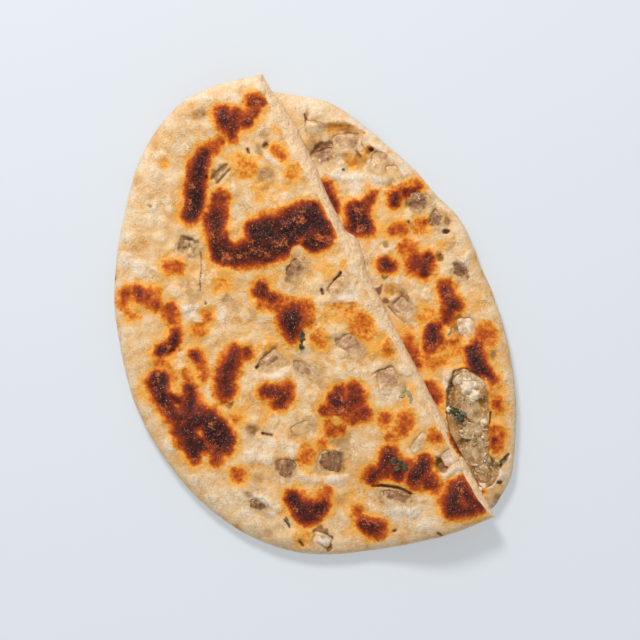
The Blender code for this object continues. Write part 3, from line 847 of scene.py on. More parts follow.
        (1.4, 0.5, ((192, 238), (198, 236), (203, 241), (201, 245))),
        (1.6, 0.5, ((172, 254), (178, 258), (184, 261))),
        (3.0, 0.5, ((180, 309), (200, 305), (215, 300))),
        (2.6, 0.5, ((318, 299), (340, 296), (357, 299))),
        (1.8, 0.5, ((322, 359), (330, 366), (328, 373))),
        (2.4, 0.5, ((258, 375), (280, 374), (292, 365))),
        (2.6, 0.6, ((292, 450), (300, 472), (318, 478), (345, 476))),
        (3.0, 0.6, ((240, 498), (262, 497), (280, 505))),
        (2.2, 0.5, ((186, 97), (200, 94), (214, 96))),
        (2.6, 0.5, ((372, 505), (395, 510), (418, 505))),
        (1.6, 0.6, ((447, 472), (455, 465), (462, 466))),
        (2.2, 0.4, ((284, 440), (300, 442), (310, 434))),
        (1.6, 0.6, ((212, 179), (220, 171), (230, 163))),
        (1.6, 0.5, ((219, 184), (227, 174), (236, 165))),
    ),
}

smallCrust = {
    "name": "smallPiece",
    "node": "small_piece",
    "side": -1,
    "reach": -43.2,
    "round": (
        (0.022, -0.3), (0.022, -0.1), (0.054, 0.11), (0.113, 0.44), (0.213, 0.673), (0.31, 0.843), (0.372, 0.91),
        (0.438, 1.003), (0.5, 0.998), (0.543, 0.972), (0.596, 0.957), (0.672, 0.9), (0.743, 0.811), (0.833, 0.645),
        (0.896, 0.475), (0.937, 0.352), (0.957, 0.255), (0.975, 0.124), (0.985, 0.03), (0.986, -0.14), (0.982, -0.3),
    ),
    "edgeOut": ((0, 13.2), (12, 9.4), (184, 9.4), (200, 13.2)),
    "footOut": ((0, 13.0), (200, 13.0)),
    "spacing": 0.41,
    "hiddenFrom": 2.0,  # further out from the cut than this the large piece hides it
    "hiddenSpacing": 2.2,
    "spine": ((30, -10), (168, -10)),
    "hiddenDice": 70,
    "blisters": (
        (17, 43, 6, 0.9), (35, 49, 6, 0.7), (28, 21, 5, 0.7), (42, 21, 6, 0.9), (53, 6, 6, 0.9), (47, -9, 6, 0.9),
        (65, -19, 7, 0.9), (73, -37, 4, 0.6), (72, -51, 4, 0.6),
    ),
    "hollow": (12.5, 66.5, 17, 11, -28, 1.3),  # where the crust fell in: x, y, half axes, turn, depth
    "burns": (
        (6, ((325.5, 184.5, 3), (329, 192, 3.3), (333.5, 201, 3), (335.5, 207, 2.2))),
        (6, ((354.5, 209.5, 8.8), (358.5, 219, 10.4), (365, 224, 7.5), (354, 225, 7.5))),
        (0.7, ((364, 205, 6), (368, 200, 4.5), (372, 193, 3.2))),
        (6, ((395, 194, 5.5), (394, 200, 4.5))),
        (0.6, ((402, 190.5, 3.2), (411, 188, 3))),
        (-0.8, ((417, 185, 4),)),
        (-0.3, ((391, 229, 3.5), (398, 226, 4.5))),
        (0.4, ((392, 229.5, 2),)),
        (-1.2, ((422, 222, 5),)),
        (-0.5, ((422, 223, 2),)),
        (6, ((385, 262, 6.5), (388, 263, 5.5))),
        (2.4, ((427, 255.5, 5.2), (424, 263, 7.2), (424, 270, 5))),
        (0.7, ((412, 258, 5), (414, 262.5, 6))),
        (3.4, ((443.5, 285, 4.5), (445, 289, 5.5), (448, 296, 6.3), (450.5, 303, 7.5), (456, 304, 4.5))),
        (1.1, ((449, 311, 5.2), (446, 317, 4))),
        (6, ((433, 327, 7), (432, 336, 8.5), (430, 343, 6))),
        (-0.5, ((408, 336, 5), (412, 350, 4.5), (416, 362, 4))),
        (0.6, ((412.5, 356, 2), (416.5, 363, 2.7))),
        (0.3, ((407, 343, 4),)),
        (-1.1, ((430, 354, 9), (455, 345, 7))),
        (6, ((477.5, 344, 5), (470, 349, 5.8), (474.5, 356, 9), (477, 364, 8.4), (486, 370, 5), (492, 376, 3))),
        (-0.9, ((485, 333, 7),)),
        (0.5, ((428, 386.5, 4), (431.5, 391.5, 4), (436, 398, 3.2))),
        (-0.7, ((496, 399, 4), (497, 406, 4))),
        (0.6, ((496, 402, 2),)),
        (-0.5, ((497, 429, 5), (495, 444, 5.5))),
        (2.2, ((494, 437.5, 3.5),)),
        (0.6, ((473, 481, 2), (477, 486, 2))),
        (-1.2, ((424, 312, 6),)),
        (-1.4, ((496, 390, 6),)),
        (-1.2, ((408, 248, 6),)),
    ),
    "spared": ((360, 218, 3, 3), (360, 224, 3, 2)),
    "gold": (
        (335, 125, 14, 0.9), (348, 124, 8, 1.0), (364, 130, 4, 1.0), (355, 158, 16, 1.0), (366, 148, 8, 1.0),
        (385, 150, 8, 0.8), (396, 160, 6, 0.7), (385, 170, 7, 0.7), (440, 212, 10, 0.8), (425, 190, 8, 0.7),
        (410, 180, 12, 0.6), (345, 180, 10, 0.4), (375, 205, 14, 0.5), (352, 245, 9, 0.5), (393, 287, 12, 0.8),
        (440, 245, 9, 0.7), (452, 240, 9, 0.5), (475, 300, 18, 0.6), (440, 350, 24, 0.9), (455, 362, 14, 0.7),
        (400, 325, 10, 0.8), (410, 230, 10, 0.5), (460, 255, 10, 0.3), (498, 395, 12, 0.8), (500, 425, 10, 0.8),
        (440, 410, 10, 0.9), (447, 425, 8, 0.8), (430, 375, 8, 0.7), (395, 240, 10, 0.4), (488, 325, 10, 0.7),
        (490, 470, 12, 0.8), (488, 350, 16, 0.9), (494, 370, 14, 0.9), (430, 320, 12, 0.8), (499, 483, 5, 0.8),
        (425, 310, 8, 0.7), (470, 330, 12, 0.4), (488, 290, 8, 0.6), (315, 180, 8, 0.4),
    ),
    "flourAndLight": (
        (305, 97, 18, 0.8), (335, 108, 14, 0.7), (360, 125, 10, 0.7), (385, 145, 10, 0.8), (405, 162, 10, 0.7),
        (352, 180, 16, 0.9), (375, 183, 12, 0.8), (340, 172, 12, 0.8), (315, 128, 7, 0.7), (420, 172, 9, 0.7),
        (372, 240, 12, 0.7), (380, 250, 10, 0.7), (415, 222, 8, 0.7), (412, 238, 8, 0.6), (430, 232, 7, 0.5),
        (452, 255, 10, 0.5), (466, 262, 9, 0.8), (450, 226, 9, 0.5), (459, 241, 9, 0.8), (476, 285, 9, 0.6),
        (457, 283, 8, 0.5), (470, 320, 14, 0.4), (452, 337, 8, 0.5), (395, 290, 5, 0.5), (413, 312, 7, 0.5),
        (445, 378, 9, 0.6), (468, 372, 9, 0.5), (500, 470, 9, 0.9), (487, 500, 10, 0.8), (505, 380, 10, 0.5),
        (508, 420, 9, 0.5), (505, 450, 8, 0.4), (354, 236, 6, 0.9), (360, 250, 4, 0.8), (437, 285, 6, 0.5),
        (500, 340, 8, 0.3),
    ),
    # brown spots; those at the bottom of the tip are painted shade where the rim is shaded
    "brownAndShade": (
        (345, 123, 10, 0.4), (360, 158, 12, 0.3), (368, 147, 5, 0.9), (324, 148, 6, 0.9), (345, 155, 7, 0.3),
        (388, 284, 9, 0.4), (378, 288, 5, 1.4), (400, 288, 10, 0.4), (392, 290, 4, 0.6), (414, 200, 7, 0.8),
        (422, 195, 7, 0.8), (446, 218, 5, 0.6), (439, 255, 5, 1.0), (492, 353, 6, 0.6), (458, 268, 6, 0.7),
        (422, 193, 7, 1.1), (414, 207, 5, 0.8), (385, 272, 6, 1.1), (385, 298, 5, 1.2), (405, 298, 6, 1.3),
        (466, 273, 5, 1.2), (457, 314, 6, 1.3), (455, 323, 5, 1.3), (505, 456, 4, 1.2), (498, 497, 7, 0.8),
        (494, 505, 5, 0.8), (492, 463, 5, 1.2), (446, 229, 4, 1.0), (452, 390, 8, 0.7), (488, 462, 8, 0.8),
        (489, 395, 7, 0.6), (487, 408, 5, 0.6), (499, 480, 4, 0.8), (305, 112, 5, 0.4), (312, 142, 8, 0.35),
        (302, 142, 5, 0.5), (365, 262, 7, 0.4), (372, 280, 8, 0.4), (385, 243, 5, 0.5), (456, 325, 6, 0.7),
        (455, 283, 6, 0.3), (470, 388, 14, 0.6), (362, 250, 4, 0.4),
    ),
    "skin": (
        (330, 138, 12, 0.5), (352, 152, 10, 0.5), (372, 165, 12, 0.6), (392, 182, 9, 0.5), (425, 205, 12, 0.6),
        (440, 220, 10, 0.6), (450, 245, 9, 0.5), (460, 250, 8, 0.4), (456, 284, 8, 0.6), (400, 300, 16, 0.5),
        (428, 290, 10, 0.4), (370, 232, 8, 0.4), (345, 185, 8, 0.3), (490, 352, 8, 0.6), (308, 145, 9, 0.5),
        (400, 175, 7, 0.4), (452, 377, 10, 0.5), (480, 375, 8, 0.4), (370, 258, 9, 0.4), (430, 300, 8, 0.4),
    ),
    "pits": (
        (371, 147, 3, 2, 0, 2.2), (364, 130, 2.5, 2, 0, 1.0), (335, 126, 15, 4.5, 0, 0.9), (355, 158, 12, 8, 0, 0.9),
        (343, 155, 8, 4, 10, 0.8), (446, 229, 4.2, 2.6, 0, 2.0), (439, 254.5, 3.3, 6, 20, 1.6),
        (492, 353, 4.5, 7, -15, 1.1), (388, 286, 10, 7, 15, 0.5), (400, 289, 9, 6, 5, 0.4),
        (378, 289, 2.5, 8, -32, 2.4), (385, 243, 3, 4, 30, 0.9), (499, 480, 3.5, 2, 0, 1.2),
        (410, 224, 6, 2.5, -50, 0.7), (307, 112, 2, 6, -10, 0.7), (447, 220, 5, 8, 20, 0.9),
        (489, 462, 5, 8, -20, 1.8), (312, 142, 8, 8, 0, 0.5), (393, 183, 6, 4, 30, 0.5), (455, 284, 5, 5, 0, 0.5),
        (370, 262, 6, 8, 20, 0.4), (428, 290, 6, 6, 0, 0.4), (378, 218, 5, 5, 0, 0.4), (452, 246, 7, 7, 0, 0.5),
        (446, 380, 5, 4, 0, 0.4), (498, 464, 5, 4, 10, 0.8), (466, 350, 8, 5, 0, 0.3),
    ),
    "cracks": (
        (0.8, 1.0, ((408, 219), (411, 224), (415, 229))),
        (0.9, 1.2, ((499, 465), (503, 459), (508, 452))),
        (0.7, 0.8, ((348, 131), (352, 140), (357, 150), (360, 154))),
        (0.6, 0.6, ((304, 125), (306, 120), (304, 112))),
        (0.6, 1.2, ((490, 410), (489, 420), (488, 428))),
        (0.6, 0.6, ((388, 304), (396, 313), (404, 320))),
        (1.2, 2.0, ((453, 378), (450, 386), (449, 396), (450, 404))),
        (0.6, 0.5, ((362, 135), (361, 141), (364, 146))),
    ),
    "ridges": (
        (2.0, 0.7, ((303, 126), (308, 121), (320, 122), (330, 120), (350, 118), (365, 126))),
        (2.0, 0.7, ((326, 152), (334, 158), (342, 161), (352, 158))),
        (1.5, 0.5, ((359, 142), (362, 136), (368, 131))),
        (2.0, 0.7, ((372, 143), (385, 150), (396, 160), (404, 172))),
        (2.6, 0.7, ((320, 171), (345, 176), (368, 173), (388, 178))),
        (1.4, 0.6, ((385, 188), (390, 191), (397, 187), (399, 180))),
        (1.6, 0.6, ((326, 166), (332, 171), (337, 168))),
        (1.8, 0.5, ((349, 233), (357, 238), (360, 248), (361, 259))),
        (1.6, 0.5, ((430, 193), (438, 200), (446, 208))),
        (1.4, 0.6, ((393, 303), (402, 312), (410, 321))),
        (1.8, 0.6, ((388, 297), (398, 294), (408, 297))),
        (1.6, 0.5, ((462, 262), (466, 256), (468, 250))),
        (2.4, 0.8, ((448, 366), (446, 378), (442, 392), (444, 404))),
        (2.2, 0.6, ((490, 425), (488, 434), (487, 446), (492, 455))),
        (2.0, 0.6, ((496, 468), (494, 478), (484, 490), (478, 494))),
    ),
    # where the crust is torn off: its edge in photo pixels and its depth in millimetres
    "tear": (
        (451, 376), (456, 370), (466, 369), (478, 377), (486, 388), (488, 404), (487, 420), (489, 440), (488, 456),
        (492, 461), (498, 464), (499, 473), (494, 482), (486, 487), (478, 483), (466, 466), (458, 452), (452, 436),
        (447, 422), (446, 405), (447, 390),
    ),
    "tearDepth": 4.3,
}

# Onion pieces that show, by the number of their node: how pale from 0 to 1, how far below the crust, how wide the
# slope of the crust round them, then on which side and how wide a gap stands open, and how far dough covers them
windowLabels = ("tone", "sunk", "slope", "gapSide", "gap", "cover")
largeWindows = {
    "01": (0.4, 0.3, 1.4, 150, 0.3, 0.1), "02": (0.08, 0.8, 1.6, 125, 0.9, 0.55), "03": (0.5, 0.4, 0.8, 130, 0.6, 0.2),
    "04": (0.6, 0.25, 1.0, 100, 0.3, 0.3), "05": (0.5, 0.4, 1.0, 130, 0.6, 0.25),
    "06": (0.5, 0.25, 0.7, 90, 0.2, 0.25), "07": (0.46, 0.3, 1.3, 140, 0.2, 0.5), "08": (0.3, 0.6, 0.45, 5, 0.8, 0.0),
    "09": (0.26, 0.45, 0.8, 100, 0.4, 0.1), "10": (0.82, 0.3, 0.6, -40, 0.5, 0.1), "11": (0.1, 0.9, 0.8, 90, 0.7, 0.2),
    "12": (0.3, 0.5, 0.9, 80, 1.1, 0.1), "13": (0.75, 0.15, 1.1, 150, 0.15, 0.5),
    "14": (0.45, 0.2, 1.6, 180, 0.1, 0.65), "in_cut": (0.78, 0.5, 0.4, 228, 0.2, 0.0),
}
smallWindows = {
    "01": (0.36, 0.9, 0.6, 115, 1.6, 0.1), "02": (0.62, 0.3, 1.1, 60, 0.2, 0.4),
    "03": (0.72, 0.25, 1.1, 90, 0.2, 0.45), "04": (0.64, 0.25, 0.9, 100, 0.2, 0.5),
    "05": (0.6, 0.2, 1.2, 100, 0.1, 0.7), "06": (0.24, 0.9, 0.9, 140, 0.9, 0.3), "07": (0.24, 0.5, 0.7, 160, 0.4, 0.1),
    "08": (0.62, 0.4, 0.8, 140, 0.35, 0.15), "09": (0.8, 0.35, 0.7, 185, 1.8, 0.1),
    "10": (0.16, 0.8, 0.6, 60, 0.7, 0.0),
}


def turnedBox(node):
    # centre, length, width and turn of a block, read from its solid
    points = np.array([v.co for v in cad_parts[node].data.vertices]) / mm
    best = None
    for turn in np.arange(-90, 90, 0.5):
        local = turned(points[:, :2], -turn)
        size = local.max(0) - local.min(0)
        if best is None or size.prod() < best[1].prod() - 1e-6:
            best = turn, size
    turn, (length, width) = best
    low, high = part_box(node)
    centre = np.array((low + high) / 2) / mm
    return {"centre": centre[:2], "size": (length, width), "turn": turn}


def windowsOf(crust, looks):
    found = []
    for number, values in looks.items():
        node = f"{crust['node']}_onion_{number}"
        seed = 1.7 * len(found) + len(crust["name"])
        found.append(turnedBox(node) | dict(zip(windowLabels, values)) | {"node": node, "seed": seed})
    return found


def towardsGap(xy, window):
    # from -1 on the side where the dough runs out over the piece to 1 where the gap is
    return (xy - window["centre"]) @ heading(window["gapSide"]) / (max(window["size"]) / 2)


def sunkBelow(xy, window):
    # how far under the crust the piece is
    return window["sunk"] * (0.2 + 1.1 * smoothStep(-0.7, 0.8, towardsGap(xy, window)))


def windowReach(xy, window):
    # millimetres from the wobbly edge of a window, below 0 inside it
    halfLength, halfWidth = window["size"][0] / 2, window["size"][1] / 2
    local = turned(xy - window["centre"], -window["turn"])
    lean = math.sin(5 * window["seed"])
    local = local * (1 + 0.16 * lean * np.clip(local[:, ::-1] / (halfWidth, halfLength), -1.5, 1.5))
    reach = ovalReach(local, (0, 0), (halfLength, halfWidth), 0, 4.4)
    away = (reach - 1) * min(halfLength, halfWidth)
    close = away < 4
    away[close] -= 0.42 * grain(xy[close], 2.6, window["seed"]) + 0.22 * grain(xy[close], 1.0, window["seed"])
    gap = window["gap"] * smoothStep(0.15, 0.7, towardsGap(xy, window))
    gap[close] *= np.clip(1 + 1.5 * grain(xy[close], 2.8, window["seed"] + 5), 0.1, 2.2)
    return away - gap


# diced onion under the crust, which lifts it a little and shows through here and there
hiddenOnion = {
    "apart": 5.6,
    "halves": ((2.2, 3.6), (1.8, 3.0)),
    "rise": (0.25, 0.75),
    "shows": (0.0, 0.3, 0.1, 0.2),
}


class Crust:
    # the plan and the heights of one piece
    def __init__(self, values, looks):
        self.values, self.side = values, values["side"]
        shares = np.array(values["round"]) * (bread["cutLength"], values["reach"])
        line = evenly(throughPoints(fromCut(*shares.T)), values["spacing"])
        inward = insideNormals(line) * self.side
        steps = np.arange(len(line))
        fade = smoothStep(0, 6, np.minimum(steps, steps[::-1]) * values["spacing"])
        self.round = line + inward * (uneven(line, "outline") * fade)[:, None]
        self.inward = inward
        self.windows = windowsOf(values, looks)
        self.tear = throughPoints(photoLine(values["tear"]), 6, closed=True) if "tear" in values else None
        self.hidden = self.hiddenDice()

    def edgeOut(self, along):
        return np.interp(along, *np.array(self.values["edgeOut"]).T)

    def stainDepth(self, along):
        # the side of the cut is browned under the onion in it
        middle, half = self.values.get("stain", (0, -12))
        return np.clip(0.6 * (half - np.abs(along - middle)), -12, 1.2)

    def footOut(self, along):
        return np.interp(along, *np.array(self.values["footOut"]).T)

    def hiddenDice(self):
        count, draw = self.values["hiddenDice"], random.Random(self.values["hiddenDice"])
        found = []
        for _ in range(count * 6):
            along, share = draw.uniform(4, bread["cutLength"] - 4), draw.uniform(0.02, 0.95)
            size = [draw.uniform(*limits) for limits in hiddenOnion["halves"]]
            x, y = fromCut([along], [share * self.values["reach"]])[0]
            dice = (x, y, *size, draw.uniform(0, 180), draw.uniform(*hiddenOnion["rise"]))
            apart = min((math.hypot(x - other[0], y - other[1]) for other in found), default=99)
            if apart > hiddenOnion["apart"] and len(found) < count:
                found.append(dice)
        return found

    def lift(self, xy):
        # how high the underside is held by what lies under it
        if self.side < 0:
            return np.zeros(len(xy))
        high = bread["thickness"] + bread["gap"]
        return high * (1 - smoothStep(*bread["drape"], toCut(xy)[1]))

    def measure(self, xy):
        # what both the height and the colour of a place come from
        values = self.values
        along, out = toCut(xy)
        labels = ("pit", "ridge", "crack", "windowDepth", "gapShade", "thinned")
        place = {label: np.zeros(len(xy)) for label in labels}

        def add(label, amount):
            place[label] = np.maximum(place[label], amount)

        place["rim"] = nearest(xy, self.round)
        place["inside"] = self.side * (out - self.edgeOut(along))
        seen = asSeen(xy, self.lift(xy) + bread["thickness"]) - np.array(photo["shift"])
        place["seen"] = seen
        wavering = uneven(xy, "pits")
        for px, py, halfLength, halfWidth, turn, depth in values["pits"]:
            halves = (halfLength * photo["pixel"], halfWidth * photo["pixel"])
            reach = ovalReach(seen, fromPhoto(px, py), halves, turn, 2.5) + wavering
            soft = 0.5 if depth > 1.1 else 0.75
            add("pit", depth * (1 - smoothStep(1 - soft, 1 + 0.6 * soft, reach)))
        for label, start in (("crack", 0.1), ("ridge", 0)):
            for width, size, pixels in values[label + "s"]:
                add(label, size * (1 - smoothStep(start, width, lineDistance(seen, photoLine(pixels)))))
        for window in self.windows:
            away = windowReach(xy, window)
            sunk = sunkBelow(xy, window)
            inner = 1 - smoothStep(-0.4, 0.0, away)
            lip = 1 - smoothStep(0, 1.5 * window["slope"], away)
            add("windowDepth", (sunk + bread["gapDepth"]) * inner + 0.8 * sunk * lip * (1 - inner))
            gap = smoothStep(-0.3, 0.7, towardsGap(xy, window))
            # painted shade on the crust round the window, darkest and widest on its gap side
            shade = np.maximum(0.8 * (1 - smoothStep(-0.2, 0.8, away)), 0.4 * (1 - smoothStep(-0.2, 3.4, away)))
            add("gapShade", shade * (0.1 + 0.9 * gap))
            add("thinned", (1 - smoothStep(-0.2, 2.6, away)) * (1 - 0.7 * gap))
        place["burn"] = self.burnDepth(seen)
        if self.tear is not None:
            place["torn"] = self.insideTear(xy) + uneven(xy, "tear")
        return place

    def insideTear(self, xy):
        # millimetres inside the torn edge, below 0 outside it
        x, y = xy.T
        within = np.zeros(len(xy), bool)
        for (ax, ay), (bx, by) in zip(self.tear, np.roll(self.tear, -1, axis=0)):
            crosses = (ay > y) != (by > y)
            within ^= crosses & (x < ax + (y - ay) / np.where(by == ay, 1, by - ay) * (bx - ax))
        away = lineDistance(xy, ringed(self.tear))
        return np.where(within, away, -away)

    def burnDepth(self, xy):
        depth = np.full(len(xy), -20.0)
        for heat, beads in self.values["burns"]:
            depth = smoothMax(depth, smoothMin(strokeDepth(xy, beads), heat, 1.8), 0.7)
        for px, py, radius, less in self.values["spared"]:
            depth -= less * (1 - smoothStep(0.2, 1.3, spotReach(xy, px, py, radius)))
        return depth

    def height(self, xy, place):
        values = self.values
        rim = place["rim"]
        rise = np.sqrt(1 - (1 - np.minimum(1, rim / bread["rimRound"])) ** 2)
        foot = bread["rimMiddle"] + bread["rimBlunt"]
        height = foot + (bread["thickness"] - foot) * rise
        height -= bread["edgeDrop"] * (1 - smoothStep(0, bread["edgeRound"], place["inside"]))
        relief = np.zeros(len(xy))
        for number, (width, size) in enumerate(bread["waves"]):
            relief += size * grain(xy, width, bread["waveStep"] * number)
        blister = np.zeros(len(xy))
        for x, y, radius, rise in values["blisters"]:
            reach = np.hypot(xy[:, 0] - x, xy[:, 1] - y) / radius
            blister = np.maximum(blister, rise * (1 - smoothStep(0.35, 1.15, reach)))
        bumps = np.zeros(len(xy))
        place["showing"] = np.zeros(len(xy))
        for number, (x, y, halfLength, halfWidth, turn, rise) in enumerate(self.hidden):
            reach = ovalReach(xy, (x, y), (halfLength, halfWidth), turn, 3)
            bumps = np.maximum(bumps, rise * (1 - smoothStep(0.55, 1.3, reach)))
            shows = hiddenOnion["shows"][number % len(hiddenOnion["shows"])]
            place["showing"] = np.maximum(place["showing"], shows * (1 - smoothStep(0.5, 1.25, reach)))
        small = uneven(xy, "crust")
        creased = turned(xy, bread["creaseTurn"]) / (1, bread["creaseStretch"])
        crease = np.abs(grain(creased, 5.0, 29) + 0.25 * grain(xy, 2.0, 30))
        small -= bread["creaseDepth"] * (1 - smoothStep(0, 0.22, crease))
        # how raised a place is, which the dough's colour uses for painted light and shade on the relief
        place["raised"] = np.clip((small + bumps + place["ridge"] - 0.15) / 0.4, -1, 1)
        relief += blister + bumps - 0.2 + small + place["ridge"]
        relief += smoothStep(-0.5, 1.5, place["burn"]) * uneven(xy, "char")
        relief -= place["pit"]
        if self.side < 0:
            along, out = toCut(xy)
            relief *= smoothStep(0.5, 5.0, -(out - np.interp(along, *np.array(largeCrust["footOut"]).T)))
            x, y, halfLength, halfWidth, turn, depth = values["hollow"]
            relief -= depth * (1 - smoothStep(0.6, 1.05, ovalReach(xy, (x, y), (halfLength, halfWidth), turn)))
        height += relief * smoothStep(0.3, 4.5, rim)
        height -= (place["windowDepth"] + place["crack"]) * smoothStep(0.3, 2.0, rim)
        if self.tear is not None:
            lip = 0.5 * smoothStep(-2.2, -0.6, place["torn"]) * (1 - smoothStep(-0.5, 0, place["torn"]))
            height += lip - values["tearDepth"] * smoothStep(-0.25, 0.5, place["torn"])
        return self.lift(xy) + np.maximum(height, bread["thinnest"])

    def underside(self, xy):
        rim = nearest(xy, self.round)
        rise = np.sqrt(1 - (1 - np.minimum(1, rim / bread["rimFootRound"])) ** 2)
        return self.lift(xy) + (bread["rimMiddle"] - bread["rimBlunt"]) * (1 - rise)

    def looks(self, xy, place):
        # the named layers that the dough's material reads
        values, seen = self.values, place["seen"]
        nearBurn = 0.85 * (1 - smoothStep(1.4, 6.0, -place["burn"]))
        # painted shade: pits and cracks are made browner, and pits also more golden and less pale, by their depth
        hollow = np.clip(place["pit"] / 1.6, 0, 1)
        crack = np.clip(place["crack"] / 0.9, 0, 1)
        # painted light: the rim is made paler towards the upper left, where the key light falls; near the cut the
        # crust is floury
        lit = np.clip(0.45 + (xy[:, 1] - xy[:, 0]) / 500, 0.1, 0.6)
        paleEdgeAndLitRim = lit * (1 - smoothStep(1.5, 8.0, place["rim"]))
        paleEdgeAndLitRim = np.maximum(paleEdgeAndLitRim, 0.6 * (1 - smoothStep(0.3, 2.4, place["inside"])))
        # brown spots, with painted shade in pits, in cracks and round the gaps of the onion windows
        brownAndShade = softSpots(seen, values["brownAndShade"]) + 0.7 * hollow + 0.9 * place["gapShade"] + 1.1 * crack
        middle = 0.3 * smoothStep(9, 26, place["rim"])
        torn = smoothStep(-0.7, 0.3, place["torn"]) if self.tear is not None else 0
        return {
            "burn": np.clip(place["burn"], -12, 6),
            "gold": np.maximum(np.maximum(softSpots(seen, values["gold"]), nearBurn), middle) + 0.3 * hollow,
            "brownAndShade": brownAndShade + 0.2 * torn,
            "flourAndLight": np.maximum(softSpots(seen, values["flourAndLight"]), paleEdgeAndLitRim) - 0.4 * hollow,
            "skin": np.maximum(np.maximum(softSpots(seen, values["skin"]), 0.85 * place["thinned"]), place["showing"]),
            "wet": np.clip(hollow + 0.6 * place["gapShade"], 0, 1),
            "cut": np.zeros(len(xy)),
            "raised": place["raised"],
            "grit": smoothStep(-0.8, 1.0, place["burn"]) * (0.35 + 0.65 * smoothStep(-0.2, 0.5, grain(xy, 9, 61))),
            "crumbs": 0.12 + np.clip(softSpots(seen, values["flourAndLight"]), 0, 1),
        }


breadMesh = {
    "nearRim": (0.12, 0.32, 0.62, 1.0),  # lines of points inside the rim, where the crust is steep
    "windowLines": (-0.42, -0.1, 0.25),  # and round a window, from its edge outwards
    "cutRows": 17,
    "foot": (0.35, 0.9, 1.7, 3.0),  # rounding of the underside, in from the foot
    "underSpacing": 3.6,
    "poreDepth": 0.5,
    # burns of the underside: how many, and the limits of their places and of their radius
    "underBurns": 16,
    "underPlaces": ((20, 180), (0.1, 0.9)),
    "underRadius": (3, 9),
    "fineStep": 0.4,  # between the points along windows, cracks and the tear
    "windowCorner": 3.2,
    "crackLines": (-0.6, 0, 0.6),  # in widths of the crack from its middle
    "tearLines": (-0.2, 0.25, 0.7),
    "apart": 0.26,  # the least that such points stay apart
    "clearOfCut": 0.3,
    "clearOfEdge": 0.09,
    "clearOfNet": 0.62,  # in spacings of the net
    "ends": (-8, 208),  # of the net, along the cut
    "swell": 0.9,  # how far the cut face swells, and which way: out from the cut, and up
    "cutLean": (-0.85, 0.5),
}


def windowLine(window, away):
    # points round a window, some way out from its edge
    halves = np.array(window["size"]) / 2 + away
    count = int(2 * math.pi * halves.mean() / breadMesh["fineStep"])
    return window["centre"] + turned(roundedSquare(count, halves, breadMesh["windowCorner"]), window["turn"])


def crustPoints(crust, top):
    # every plan point of the upper surface, the closed edge first
    values, spacing = crust.values, crust.values["spacing"]
    lines = [crust.round[2:-2] + crust.inward[2:-2] * away for away in breadMesh["nearRim"]]
    for window in crust.windows:
        lines += [windowLine(window, away) for away in breadMesh["windowLines"]]
    for width, _, pixels in values["cracks"]:
        middle = evenly(photoLine(pixels), breadMesh["fineStep"])
        lines += [middle + insideNormals(middle) * width * share for share in breadMesh["crackLines"]]
    if crust.tear is not None:
        edge = evenly(ringed(crust.tear), breadMesh["fineStep"])
        lines += [edge[:-1] + insideNormals(edge)[:-1] * away for away in breadMesh["tearLines"]]
    extra = np.concatenate(lines)
    # keep what is well inside the edge, and thin out points that nearly meet
    along, out = toCut(extra)
    extra = extra[crust.side * (out - crust.edgeOut(along)) > breadMesh["clearOfCut"]]
    extra = extra[nearest(extra, top) > breadMesh["clearOfEdge"]]
    cells = np.floor(extra / breadMesh["apart"]).astype(int)
    extra = extra[np.sort(np.unique(cells, axis=0, return_index=True)[1])]
    reach = abs(values["reach"]) + 2
    low, high = zip(breadMesh["ends"], (-3, reach) if crust.side > 0 else (-reach, 15))
    net = lattice(low, high, spacing, 4)
    if "hiddenFrom" in values:
        coarse = lattice(low, high, values["hiddenSpacing"], 5)
        net = np.concatenate([net[net[:, 1] < values["hiddenFrom"]], coarse[coarse[:, 1] > values["hiddenFrom"] + 1]])
    net = fromCut(*net.T)
    kept = np.concatenate([top, extra])
    return np.concatenate([kept, net[nearest(net, kept) > breadMesh["clearOfNet"] * spacing]])


def cutColumns(crust):
    # the cut from the last tip back to the first: its edge in the crust and its foot
    steps = max(2, round(bread["cutLength"] / crust.values["spacing"]))
    tips = [toCut(crust.round[i][None])[0][0] for i in (-1, 0)]
    along = np.linspace(*tips, steps + 1)[1:-1]
    outline = fromCut(along, np.full(len(along), 0.0))
    ragged = uneven(outline, "cutEdge")
    fade = smoothStep(0, 8, np.minimum(np.abs(along - tips[0]), np.abs(along - tips[1])))
    return (fromCut(along, crust.edgeOut(along) + ragged * fade),
            fromCut(along, crust.footOut(along) + 0.6 * ragged * fade), fade)


def cutFace(crust, edge, foot, fade):
    # rows of points down the cut, with its crumb and pores
    rows = []
    outwards, upwards = breadMesh["cutLean"]
    lean = np.concatenate([outOfCut * crust.side * outwards, [upwards]])
    for row in range(1, breadMesh["cutRows"]):
        share = row / breadMesh["cutRows"]
        points = edge + (foot - edge) * share
        swell = breadMesh["swell"] * math.sin(math.pi * share) * fade
        level = np.stack([toCut(points[:, :2])[0], points[:, 2] * 1.4], axis=1)
        pores = breadMesh["poreDepth"] * smoothStep(0.28, 0.55, grain(level, 1.5, 57))
        crumb = (uneven(level, "cutFace") - pores) * fade * math.sin(math.pi * share) ** 0.4
        rows.append(points + lean * (swell + crumb)[:, None])
    return rows


